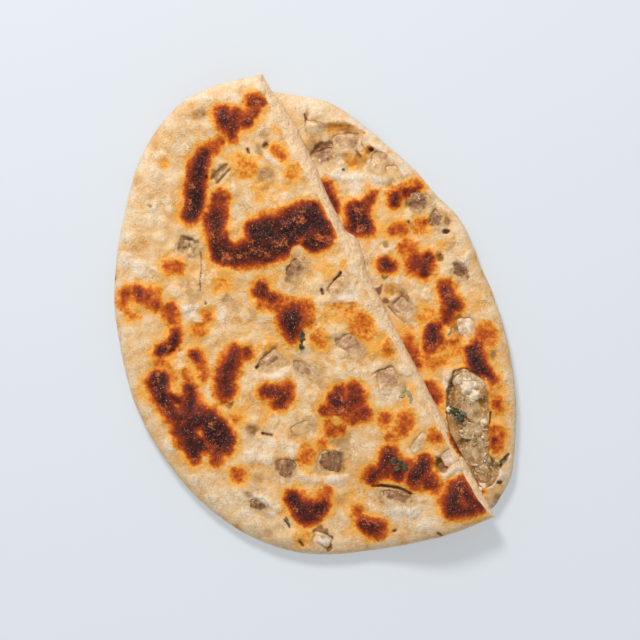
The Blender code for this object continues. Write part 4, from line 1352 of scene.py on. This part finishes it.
def breadPiece(crust):
    values = crust.values
    edge, foot, fade = cutColumns(crust)
    top = np.concatenate([crust.round, edge])
    plan = crustPoints(crust, top)
    found, faces, loop = delaunay(plan, len(top))
    place = crust.measure(found)
    points = np.column_stack([found, crust.height(found, place)])
    layers = crust.looks(found, place)
    print(values["name"], "crust has", len(faces), "triangles")

    roundCount, columns = len(crust.round), len(edge)
    footLine = np.concatenate([crust.round, foot])
    footZ = crust.underside(footLine)
    footPoints = np.column_stack([footLine, footZ])
    start = len(points)
    topPoints = points[loop]
    rows = cutFace(crust, topPoints[roundCount:], footPoints[roundCount:], fade)
    rowStart = [start + i * columns for i in range(len(rows))]
    footStart = start + columns * len(rows)
    down = [loop[roundCount:]] + [[first + i for i in range(columns)] for first in rowStart]
    down.append([footStart + roundCount + i for i in range(columns)])
    for upper, lower in zip(down, down[1:]):
        faces += [[upper[i], upper[i + 1], lower[i + 1], lower[i]] for i in range(columns - 1)]
    for i in range(roundCount - 1):
        faces.append([loop[i], loop[i + 1], footStart + i + 1, footStart + i])
    for tip, column in ((roundCount - 1, 0), (0, columns - 1)):
        faces.append([loop[tip], footStart + tip] + [row[column] for row in down[::-1]])

    # the underside: rings that round it off, then a coarse net
    spineStart, spineEnd = fromCut(*np.array(values["spine"], float).T)
    spine = spineEnd - spineStart
    share = np.clip((footLine - spineStart) @ spine / (spine @ spine), 0, 1)
    inwards = spineStart + share[:, None] * spine - footLine
    inwards /= np.hypot(*inwards.T)[:, None]
    rings = [footLine + inwards * away for away in breadMesh["foot"]]
    count, ringStart = len(footLine), footStart + len(footLine)
    below = [np.column_stack([ring, crust.underside(ring)]) for ring in rings]
    starts = [footStart] + [ringStart + k * count for k in range(len(rings))]
    for upper, lower in zip(starts, starts[1:]):
        faces += [[upper + i, upper + (i + 1) % count, lower + (i + 1) % count, lower + i] for i in range(count)]
    inner = rings[-1]
    reach = abs(values["reach"]) + 2
    low, high = zip(breadMesh["ends"], (-reach, reach))
    net = fromCut(*lattice(low, high, breadMesh["underSpacing"], 6).T)
    net = net[nearest(net, inner) > 0.6 * breadMesh["underSpacing"]]
    under, underFaces, underLoop = delaunay(np.concatenate([inner, net]), count)
    number = {source: starts[-1] + i for i, source in enumerate(underLoop)}
    free = [i for i in range(len(under)) if i not in number]
    number |= {source: starts[-1] + count + i for i, source in enumerate(free)}
    faces += [[number[i] for i in face] for face in underFaces]
    underPoints = np.column_stack([under[free], crust.underside(under[free])])
    lowerPoints = np.concatenate([footPoints, *below, underPoints])
    points = np.concatenate([points, *rows, lowerPoints])

    draw = random.Random(9)
    burns = np.full(len(lowerPoints), -20.0)
    for _ in range(breadMesh["underBurns"]):
        along, share = (draw.uniform(*limits) for limits in breadMesh["underPlaces"])
        spot = fromCut([along], [share * values["reach"]])[0]
        radius = draw.uniform(*breadMesh["underRadius"])
        burns = smoothMax(burns, radius - np.hypot(*(lowerPoints[:, :2] - spot).T), 2)
    sideCount = columns * len(rows)
    for label in layers:
        side, lower = np.zeros(sideCount), np.zeros(len(lowerPoints))
        if label == "burn":
            stain = crust.stainDepth(np.linspace(*toCut(edge[[0, -1]])[0], columns))
            fading = 3.4 * np.linspace(1, 0, len(rows)) ** 1.5  # upwards
            side[:], lower = (stain - fading[:, None]).ravel(), np.clip(burns, -12, 3)
            lower[: len(footPoints)] = -12
        elif label == "cut":
            side[:] = 1
            lower[roundCount: len(footPoints)] = 1
        elif label == "gold":
            lower[len(footPoints):] = 0.5
        elif label == "flourAndLight":
            lower[: roundCount] = 0.5
        layers[label] = np.concatenate([layers[label], side, lower])
    made = newObject(values["name"], points, faces, dough, layers)
    print(values["name"], "has", sum(len(face.vertices) - 2 for face in made.data.polygons), "triangles")
    return rideAs(made, "baked_dough", values["node"])


large = Crust(largeCrust, largeWindows)
small = Crust(smallCrust, smallWindows)
largePiece = breadPiece(large)
smallPiece = breadPiece(small)


# Diced onion in the windows of the crust

onionPieces = {
    "height": 2.6,
    "past": 0.5,  # how far a piece reaches under the crust round its window
    "rings": ((0.25, 0.02), (0.5, 0.05), (0.72, 0.1), (0.87, 0.2), (0.95, 0.38), (1.0, 0.7)),
    "around": 40,
    "ridges": 0.09,
    "form": (4.0, 0.9, 0.35),  # how square, how rounded above, how domed
    "cutForm": (7.0, 0.35, 0.0),  # of the piece that the knife cut flat
    "cutNarrower": 0.8,
    "below": ((1.0, 0.6), (0.94, 0.9), (0.7, 1.0)),  # rings underneath: shares of the width and the height
    "shift": (0.1, 0.35),  # away from the gap: always, and for each millimetre of it
}


def slab(size, height, seed, form):
    # a rounded, slightly curved and uneven block about the origin, its top at z = 0
    values, (corner, rounding, dome) = onionPieces, form
    edge = roundedSquare(values["around"], np.array(size) / 2, corner)
    edge *= 1 + 0.07 * grain(edge, 3, seed)[:, None]
    rings = []
    for share, drop in values["rings"]:
        plan = edge * share
        fibres = values["ridges"] * grain(plan * (1, 0.2), 0.8, seed + 2) + 0.2 * grain(plan, 3.0, seed + 4)
        bend = -dome * (plan[:, 0] / (size[0] / 2)) ** 2
        rings.append(np.column_stack([plan, bend + fibres - drop * rounding]))
    for share, depth in values["below"]:
        rings.append(np.column_stack([edge * share, np.full(len(edge), -depth * height)]))
    return ringBody(rings)


def onionInWindow(crust, window):
    size, form = np.array(window["size"]) + 2 * onionPieces["past"], onionPieces["form"]
    if window["node"].endswith("in_cut"):
        size, form = size - onionPieces["cutNarrower"], onionPieces["cutForm"]
    own, faces = slab(size, onionPieces["height"], window["seed"], form)
    least, more = onionPieces["shift"]
    shift = -heading(window["gapSide"] - window["turn"]) * (least + more * window["gap"])
    plan = turned(own[:, :2] + shift, window["turn"]) + window["centre"]
    level = crust.height(plan, calmPlace(crust, plan)) - sunkBelow(plan, window)
    below = own[:, 2] < -0.5 * onionPieces["height"]
    level[below] = level[0]
    points = np.column_stack([plan, own[:, 2] + level])
    inward = smoothStep(0.0, 2.0, -windowReach(plan, window))
    gap = smoothStep(-0.4, 0.5, towardsGap(plan, window))
    # painted shade: near its edge on the gap side the piece takes the dark juice colour
    attributes = {"own": own, "tone": np.full(len(own), window["tone"]), "juiceAndShade": 0.75 * (1 - inward) * gap,
                  "under": np.maximum(0.8 * (1 - inward) * (1 - gap), window["cover"])}
    made = newObject(window["node"].replace("_", "-"), points, faces, onion, attributes)
    rideAs(made, "cooked_onion", window["node"])


def calmPlace(crust, xy):
    # the crust as it would be without its windows, pits and cracks
    place = crust.measure(xy)
    for label in ("pit", "crack", "windowDepth"):
        place[label] = np.zeros(len(xy))
    return place


for crust in (large, small):
    for window in crust.windows:
        onionInWindow(crust, window)
print("onion pieces made")


# The filling in the torn place: a core of crumb and juice, and slices of onion on it

filling = {
    "node": "bared_filling",
    "floor": 3.0,
    "level": 6.9,
    "margin": -0.5,
    "edgeDrop": 0.8,
    "thinnest": 0.6,
    "spacing": 0.5,
    # slices that show: pixel, length, width, height, turn, two tilts, tone, height above the core
    "chosen": (
        (470, 408, 10.5, 6.6, 1.3, -60, 4, 5, 0.66, 0.35), (478, 418, 9.0, 5.6, 1.3, -35, -4, 6, 0.6, 0.4),
        (473, 429, 9.0, 5.0, 1.3, -15, 6, -4, 0.7, 0.4), (484, 422, 3.4, 3.0, 1.6, 20, 0, 10, 0.9, 0.9),
        (463, 430, 8.5, 4.4, 1.2, -62, -8, 6, 0.62, 0.2), (467, 436, 5.2, 2.6, 1.2, -10, 8, 6, 0.85, 0.4),
        (474, 450, 11.0, 7.0, 1.4, 55, 6, -4, 0.6, 0.5), (481, 457, 9.5, 6.4, 1.4, -65, -4, 6, 0.64, 0.4),
        (481, 442, 8.0, 5.0, 1.3, 30, -8, 8, 0.66, 0.45), (473, 462, 6.5, 3.6, 1.3, -50, 8, 6, 0.6, 0.2),
        (482, 471, 8.5, 5.2, 1.3, -70, 5, -7, 0.62, 0.4), (485, 480, 6.5, 4.5, 1.3, 60, -8, 6, 0.66, 0.4),
        (482, 486, 4.0, 2.8, 1.4, 0, 0, 0, 0.95, 0.6), (463, 378, 7.5, 4.4, 1.2, 20, 8, 5, 0.85, 0.7),
        (458, 385, 7.0, 3.6, 1.2, -62, 14, 8, 0.7, 0.4), (472, 376, 6.5, 3.6, 1.2, -10, -5, 6, 0.8, 0.6),
        (480, 384, 7.0, 4.2, 1.2, 50, 8, -8, 0.72, 0.4), (461, 399, 7.0, 4.4, 1.2, -65, 12, 4, 0.5, 0.0),
        (486, 434, 5.4, 3.6, 1.3, 70, 8, 8, 0.6, 0.4),
    ),
    # bits between them: how many, and the limits of their length, width and height, of their tilts and tone
    "scattered": 30,
    "between": ((1.6, 4.2), (0.5, 1.3), (0.4, 0.8)),
    "tilts": (-26, 26),
    "tones": (0.45, 0.95),
    "hollows": (
        (465, 441, 7, 2.0), (464, 430, 4, 1.6), (470, 423, 3, 1.2), (453, 384, 5, 1.5), (451, 389, 5, 1.5),
        (450, 394, 5, 1.5), (450, 399, 5, 1.5), (450, 404, 5, 1.2), (484, 402, 7, 2.0), (466, 371, 8, -0.9),
        (479, 380, 5, -0.7), (453, 437, 8, -0.8), (459, 452, 8, -0.7), (447, 420, 6, -0.7), (488, 420, 4, 2.2),
        (493, 467, 7, 1.7), (474, 470, 4, 1.2), (476, 481, 3, 1.0), (459, 446, 3.5, 0.9),
    ),
}


def fillingLevel(xy):
    level = filling["level"] + uneven(xy, "filling")
    for px, py, radius, depth in filling["hollows"]:
        level -= depth * (1 - smoothStep(0.1, 1.2, spotReach(xy, px, py, radius)))
    level -= filling["edgeDrop"] * (1 - smoothStep(-0.6, 0.2, small.insideTear(xy)))
    return np.maximum(level, filling["floor"] + filling["thinnest"])


def fillingCore():
    edge = evenly(ringed(small.tear), filling["spacing"])[:-1]
    inward = insideNormals(ringed(edge))[:-1]
    if small.insideTear(edge + inward * 0.5).mean() < 0:
        inward = -inward
    rim = edge + inward * filling["margin"]
    low, high = rim.min(0), rim.max(0)
    net = lattice(low, high, filling["spacing"], 14)
    net = net[(small.insideTear(net) > filling["margin"] + 0.3)]
    found, faces, loop = delaunay(np.concatenate([rim, net]), len(rim))
    count = len(found)
    top = np.column_stack([found, fillingLevel(found)])
    below = np.column_stack([found, np.full(count, filling["floor"])])
    faces = faces + [[i + count for i in face[::-1]] for face in faces]
    faces += [[loop[i], loop[i - 1], loop[i - 1] + count, loop[i] + count] for i in range(len(loop))]
    bare = np.zeros(2 * count)
    # painted shade: the core is darker the deeper it lies in its hollows
    depth = np.tile(filling["level"] - fillingLevel(found), 2)
    attributes = {"own": np.concatenate([top, below]), "tone": np.clip(0.5 - 0.4 * depth, 0, 1),
                  "juiceAndShade": bare + 0.75, "under": bare}
    made = newObject("fillingCore", np.concatenate([top, below]), faces, wetOnion, attributes)
    rideAs(made, "cooked_onion", filling["node"])


def placed(body, turns, spot, level):
    # a body turned about its own middle and set down
    points, faces = body
    turn = np.array(Euler([math.radians(angle) for angle in turns]).to_matrix())
    return points @ turn.T + (*spot, level), faces


def fillingOnions():
    draw = random.Random(17)
    bodies, tones, owns, juices = [], [], [], []
    pieces = [(np.array(fromPhoto(px, py)), *rest) for px, py, *rest in filling["chosen"]]
    low, high = small.tear.min(0), small.tear.max(0)
    taken = [(piece[0], 0.42 * piece[1]) for piece in pieces]
    while len(pieces) < len(filling["chosen"]) + filling["scattered"]:
        spot = np.array([draw.uniform(low[0], high[0]), draw.uniform(low[1], high[1])])
        sizes = [draw.uniform(*limits) for limits in filling["between"]]
        if small.insideTear(spot[None])[0] < 0.9:
            continue
        near = min(np.hypot(*(spot - other)) - reach for other, reach in taken)
        above = 0.25 if near > 0 else 0.7
        turns = [draw.uniform(*limits) for limits in ((-90, 90), filling["tilts"], filling["tilts"])]
        pieces.append((spot, *sizes, *turns, draw.uniform(*filling["tones"]), above * draw.uniform(0.8, 1.2)))
        taken.append((spot, 0.3 * sizes[0]))
    for number, (spot, length, width, height, turn, tiltX, tiltY, tone, above) in enumerate(pieces):
        form = (draw.uniform(2.4, 5), 0.45, draw.uniform(-0.5, 0.7))
        own, faces = slab((length, width), height, 80 + 1.3 * number, form)
        level = min(fillingLevel(spot[None])[0], filling["level"] + 0.3) + above
        bodies.append(placed((own, faces), (tiltX, tiltY, turn), spot, level))
        owns.append(own + (3 * number, 0, 0))
        tones.append(np.full(len(own), tone))
        juices.append(draw.uniform(0.2, 0.55) + 0.5 * smoothStep(0.2, 1.0, -own[:, 2]))
    points, faces = joined(bodies)
    tones, juices = np.concatenate(tones), np.concatenate(juices)
    attributes = {"own": np.concatenate(owns), "tone": tones, "juiceAndShade": juices, "under": 0 * tones}
    made = newObject("fillingOnions", points, faces, wetOnion, attributes)
    rideAs(made, "cooked_onion")


fillingCore()
fillingOnions()
print("filling made")


# White curds and crumbs of dough, as lumps

lumps = {
    "around": 22,
    "tiers": 12,
    "flatness": 0.75,  # height for width
    "sunk": 0.4,  # share of the radius
    # pixel, radius in millimetres, how far it stands up, how rough
    "spots": (
        (468, 388, 3.1, 0.8, 0.5), (475, 394, 2.9, 0.7, 0.5), (471, 398, 1.6, 0.5, 0.5), (473, 385, 1.8, 0.6, 0.5),
        (464, 379, 0.9, 0.9, 0.5), (469, 380, 1.0, 0.9, 0.5), (448, 409, 1.1, 1.2, 0.3), (484, 422, 0.9, 1.6, 0.3),
        (461, 431, 0.7, 1.3, 0.4), (482, 437, 0.6, 1.2, 0.4), (478, 489, 1.4, 0.8, 0.4), (315, 130, 1.1, 0.3, 0.4),
        (346, 145, 0.8, 0.5, 0.4), (325, 161, 1.2, 0.0, 0.4), (331, 160, 0.7, 0.0, 0.4), (503, 462, 0.7, 0.4, 0.4),
    ),
}


def curdLumps():
    count = lumps["around"]
    bodies = []
    for number, (px, py, radius, above, rough) in enumerate(lumps["spots"]):
        xy = np.array(fromPhoto(px, py))
        inTear = small.insideTear(xy[None])[0] > 0
        ground = fillingLevel(xy[None])[0] + 0.2 if inTear else small.height(xy[None], small.measure(xy[None]))[0]
        rings = []
        for level in np.linspace(-0.95, 0.95, lumps["tiers"])[::-1]:
            angles = np.arange(count) * 2 * math.pi / count
            wide = math.sqrt(1 - level ** 2)
            unit = np.stack([np.cos(angles) * wide, np.sin(angles) * wide, np.full(count, level)], axis=1)
            places = [Vector(p) * 1.1 + Vector((7.1 * number, 0, 0)) for p in unit]
            swell = [1 + rough * noise.fractal(place, 0.9, 2.1, 3) for place in places]
            rings.append(unit * np.array(swell)[:, None] * radius * (1, 1, lumps["flatness"]))
        points, faces = ringBody(rings)
        bodies.append((points + (*xy, ground + above - lumps["sunk"] * radius), faces))
    points, faces = joined(bodies)
    made = newObject("curdLumps", points, faces, curd, {})
    rideAs(made, "baked_dough")


curdLumps()


# Herb flakes: thin curled leaves pressed into the crust

herbs = {
    # pixel, length and width in millimetres, turn, curl, how pale
    "flakes": (
        (302.5, 334, 3.4, 2.0, 80, 0.5, 0.0), (303, 340, 3.4, 2.2, 95, 0.4, 0.0), (302, 346, 3.0, 2.3, 70, 0.5, 0.0),
        (393, 460, 3.8, 2.2, 40, 0.5, 0.0), (399, 462, 3.6, 2.5, -20, 0.6, 0.0), (404, 466, 3.4, 2.2, -45, 0.5, 0.0),
        (396, 467, 3.0, 2.0, 10, 0.5, 0.1), (403, 389, 3.0, 1.4, 60, 0.3, 0.8), (408, 393, 3.6, 1.4, -55, 0.3, 0.7),
        (401, 395, 2.6, 1.1, 15, 0.3, 0.9), (410, 399, 2.8, 1.2, 80, 0.3, 0.7), (343, 170, 1.6, 0.9, 30, 0.3, 0.0),
        (501, 460, 2.6, 1.2, 35, 0.4, 0.1), (287, 518, 2.2, 0.8, -55, 0.3, 0.2), (289, 523, 1.7, 0.6, -60, 0.3, 0.2),
        (438, 531, 1.5, 0.6, -10, 0.3, 0.1), (378, 539, 1.4, 0.7, 20, 0.3, 0.2), (362, 348, 1.3, 0.6, 60, 0.3, 0.4),
        (455, 411, 4.4, 2.8, -42, 0.8, 0.0), (460, 417, 4.0, 2.6, -60, 0.7, 0.0), (457, 418, 3.0, 2.0, 20, 0.6, 0.2),
        (451, 409, 3.2, 1.8, -70, 0.6, 0.1), (463, 413, 2.6, 1.6, -20, 0.6, 0.3),
    ),
    "rows": 9,
    "columns": 5,
    "thick": 0.16,
    "wave": 0.45,
    "raggedness": 0.7,
    "bend": (0.35, 0.4),  # across a leaf and along it
    "lift": 0.28,  # over the crust
    "liftInTear": 1.5,
}


def herbLeaf(length, width, curl, seed):
    # a thin closed leaf about the origin, wavy across and bent along
    rows, columns, (bendAcross, bendAlong) = herbs["rows"], herbs["columns"], herbs["bend"]
    top = []
    for row in range(rows):
        along = row / (rows - 1)
        half = width / 2 * (math.sin(math.pi * (0.06 + 0.88 * along)) ** 0.8)
        for column in range(columns):
            across = 2 * column / (columns - 1) - 1
            wave = herbs["wave"] * noise.noise(Vector((along * 4, across * 2, seed)))
            x = (along - 0.5) * length
            ragged = herbs["raggedness"] * noise.noise(Vector((along * 6, across, seed + 3)))
            bend = curl * bendAcross * across ** 2 - curl * bendAlong * (2 * along - 1) ** 2
            top.append((x, across * half * (1 + ragged), wave + bend))
    top = np.array(top)
    below = top - (0, 0, herbs["thick"])
    count, faces = len(top), []
    for row in range(rows - 1):
        for column in range(columns - 1):
            a, b = row * columns + column, (row + 1) * columns + column
            faces += [[a, b, b + 1], [a, b + 1, a + 1], [a + count, b + 1 + count, b + count],
                      [a + count, a + 1 + count, b + 1 + count]]
    edge = list(range(columns)) + [row * columns + columns - 1 for row in range(1, rows)]
    edge += [(rows - 1) * columns + column for column in range(columns - 2, -1, -1)]
    edge += [row * columns for row in range(rows - 2, 0, -1)]
    faces += [[edge[i - 1], edge[i], edge[i] + count, edge[i - 1] + count] for i in range(len(edge))]
    return np.concatenate([top, below]), faces


def herbFlakes():
    bodies, pales = [], []
    for number, (px, py, length, width, turn, curl, pale) in enumerate(herbs["flakes"]):
        xy = np.array(fromPhoto(px, py))[None]
        if small.insideTear(xy)[0] > 0:
            level = fillingLevel(xy)[0] + herbs["liftInTear"]
        else:
            crust = large if toCut(xy)[1][0] > 1 else small
            level = crust.height(xy, crust.measure(xy))[0] + herbs["lift"]
        points, faces = herbLeaf(length, width, curl, 5.0 * number)
        bodies.append(placed((points, faces), (8 * curl, 0, turn), xy[0], level))
        pales.append(np.full(len(points), pale))
    points, faces = joined(bodies)
    made = newObject("herbFlakes", points, faces, herb, {"pale": np.concatenate(pales)})
    rideAs(made, "cooked_onion")


herbFlakes()


# Grains: rough crumbs of char on the burns and of flour on the pale crust

def scatterTree(name, material):
    tree = bpy.data.node_groups.new(name, "GeometryNodeTree")
    kinds = {"Geometry": "Geometry", "Layer": "String", "Seed": "Int"}
    for label in ("Geometry", "Layer", "Density", "Smallest", "Largest", "Palest", "Darkest", "Seed"):
        tree.interface.new_socket(label, in_out="INPUT", socket_type="NodeSocket" + kinds.get(label, "Float"))
    tree.interface.new_socket("Geometry", in_out="OUTPUT", socket_type="NodeSocketGeometry")

    def add(kind, given=None, **settings):
        return addNode(tree, kind, given, **settings)

    def chance(seed, low, high, kind="FLOAT"):
        limits = {"Min": low, "Max": high, "Seed": seed}
        return add("FunctionNodeRandomValue", limits, data_type=kind).outputs["Value"]

    given = add("NodeGroupInput").outputs
    layer = add("GeometryNodeInputNamedAttribute", {"Name": given["Layer"]}, data_type="FLOAT")
    density = add("ShaderNodeMath", {0: layer.outputs["Attribute"], 1: given["Density"]}, operation="MULTIPLY")
    spread = add("GeometryNodeDistributePointsOnFaces", {
        "Mesh": given["Geometry"], "Density": density.outputs[0], "Seed": given["Seed"],
    }, distribute_method="RANDOM")
    turn = chance(11, (0, 0, 0), (6.28, 6.28, 6.28), "FLOAT_VECTOR")
    size = chance(12, given["Smallest"], given["Largest"])
    stretch = chance(13, (0.7, 0.7, 0.5), (1.5, 1.1, 0.9), "FLOAT_VECTOR")
    shade = chance(14, given["Darkest"], given["Palest"])
    scale = add("ShaderNodeVectorMath", {0: stretch, "Scale": size}, operation="SCALE")
    copies = add("GeometryNodeInstanceOnPoints", {
        "Points": spread.outputs["Points"], "Rotation": turn, "Scale": scale.outputs["Vector"],
        "Instance": add("GeometryNodeMeshIcoSphere", {"Radius": 1.0, "Subdivisions": 1}).outputs["Mesh"],
    })
    keep = add("GeometryNodeStoreNamedAttribute", {
        "Geometry": copies.outputs["Instances"], "Name": "shade", "Value": shade,
    }, data_type="FLOAT", domain="INSTANCE")
    real = add("GeometryNodeRealizeInstances", {"Geometry": keep.outputs["Geometry"]})
    finished = add("GeometryNodeSetMaterial", {"Geometry": real.outputs["Geometry"], "Material": material})
    add("NodeGroupOutput", {"Geometry": finished.outputs["Geometry"]})
    return tree


scatter = {
    "charGrit": {"Layer": "grit", "Density": 0.32, "Smallest": 0.1, "Largest": 0.27, "Palest": 0.66, "Darkest": 0.0,
                 "Seed": 4},
    "flourCrumbs": {"Layer": "crumbs", "Density": 0.3, "Smallest": 0.07, "Largest": 0.2, "Palest": 1.0,
                    "Darkest": 0.55, "Seed": 9},
}


def scatterOn(piece, name, values):
    tree = scatterTree(name, grit)
    carrier = inScene(name + "Carrier", piece.data)
    modifier = carrier.modifiers.new(name, "NODES")
    modifier.node_group = tree
    sockets = {item.name: item.identifier for item in tree.interface.items_tree if item.in_out == "INPUT"}
    for label, value in values.items():
        if label == "Density":
            value /= mm * mm
        elif label in ("Smallest", "Largest"):
            value *= mm
        modifier[sockets[label]] = value
    graph = bpy.context.evaluated_depsgraph_get()
    mesh = bpy.data.meshes.new_from_object(carrier.evaluated_get(graph), depsgraph=graph)
    bpy.data.objects.remove(carrier)
    mesh.name = name
    print(name, "has", len(mesh.polygons), "faces")
    rideAs(inScene(name, mesh), "baked_dough")


for piece, side in ((largePiece, "Large"), (smallPiece, "Small")):
    for name, values in scatter.items():
        scatterOn(piece, name + side, values)


# The floor, the light and the camera

studio = {
    "floor": tint(166, 170, 174),
    "floorShader": {"Roughness": 0.75, "Emission Strength": 0.85},
    "floorSize": 3.0,
    "floorDrop": 0.0004,
    "sensor": 36.0,
    "world": (0.93, 0.965, 1.0, 1),
    "worldStrength": 0.55,
    "keyPlace": (-0.32, 0.85, 0.95),
    "keySize": 0.34,
    "keyPower": 13.5,
    "keyColour": (1.0, 0.985, 0.96),
}


def makeStudio():
    values = studio
    half = values["floorSize"] / 2
    corners = [(-half, -half), (half, -half), (half, half), (-half, half)]
    mesh = bpy.data.meshes.new("floor")
    mesh.from_pydata([(x, y, -values["floorDrop"]) for x, y in corners], [], [(0, 1, 2, 3)])
    shader = values["floorShader"] | {"Base Color": values["floor"], "Emission Color": values["floor"]}
    mesh.materials.append(Finish("paleFloor", shader).material)
    inScene("floor", mesh)

    world = bpy.data.worlds.new("studio")
    world.use_nodes = True
    background = world.node_tree.nodes["Background"].inputs
    background["Color"].default_value = values["world"]
    background["Strength"].default_value = values["worldStrength"]
    bpy.context.scene.world = world

    light = bpy.data.lights.new("key", "AREA")
    light.shape, light.size = "DISK", values["keySize"]
    light.energy, light.color = values["keyPower"], values["keyColour"]
    key = inScene("key", light)
    key.location = values["keyPlace"]
    key.rotation_euler = (-Vector(values["keyPlace"])).to_track_quat("-Z", "Y").to_euler()

    lens = bpy.data.cameras.new("camera")
    lens.sensor_width = values["sensor"]
    lens.lens = values["sensor"] * photo["distance"] / (photo["frame"] * photo["pixel"])
    camera = inScene("camera", lens)
    x, y = photo["centre"]
    camera.location = (x * mm, y * mm, (photo["distance"] + photo["level"]) * mm)
    bpy.context.scene.camera = camera
    bpy.context.scene.view_settings.view_transform = "Standard"


makeStudio()
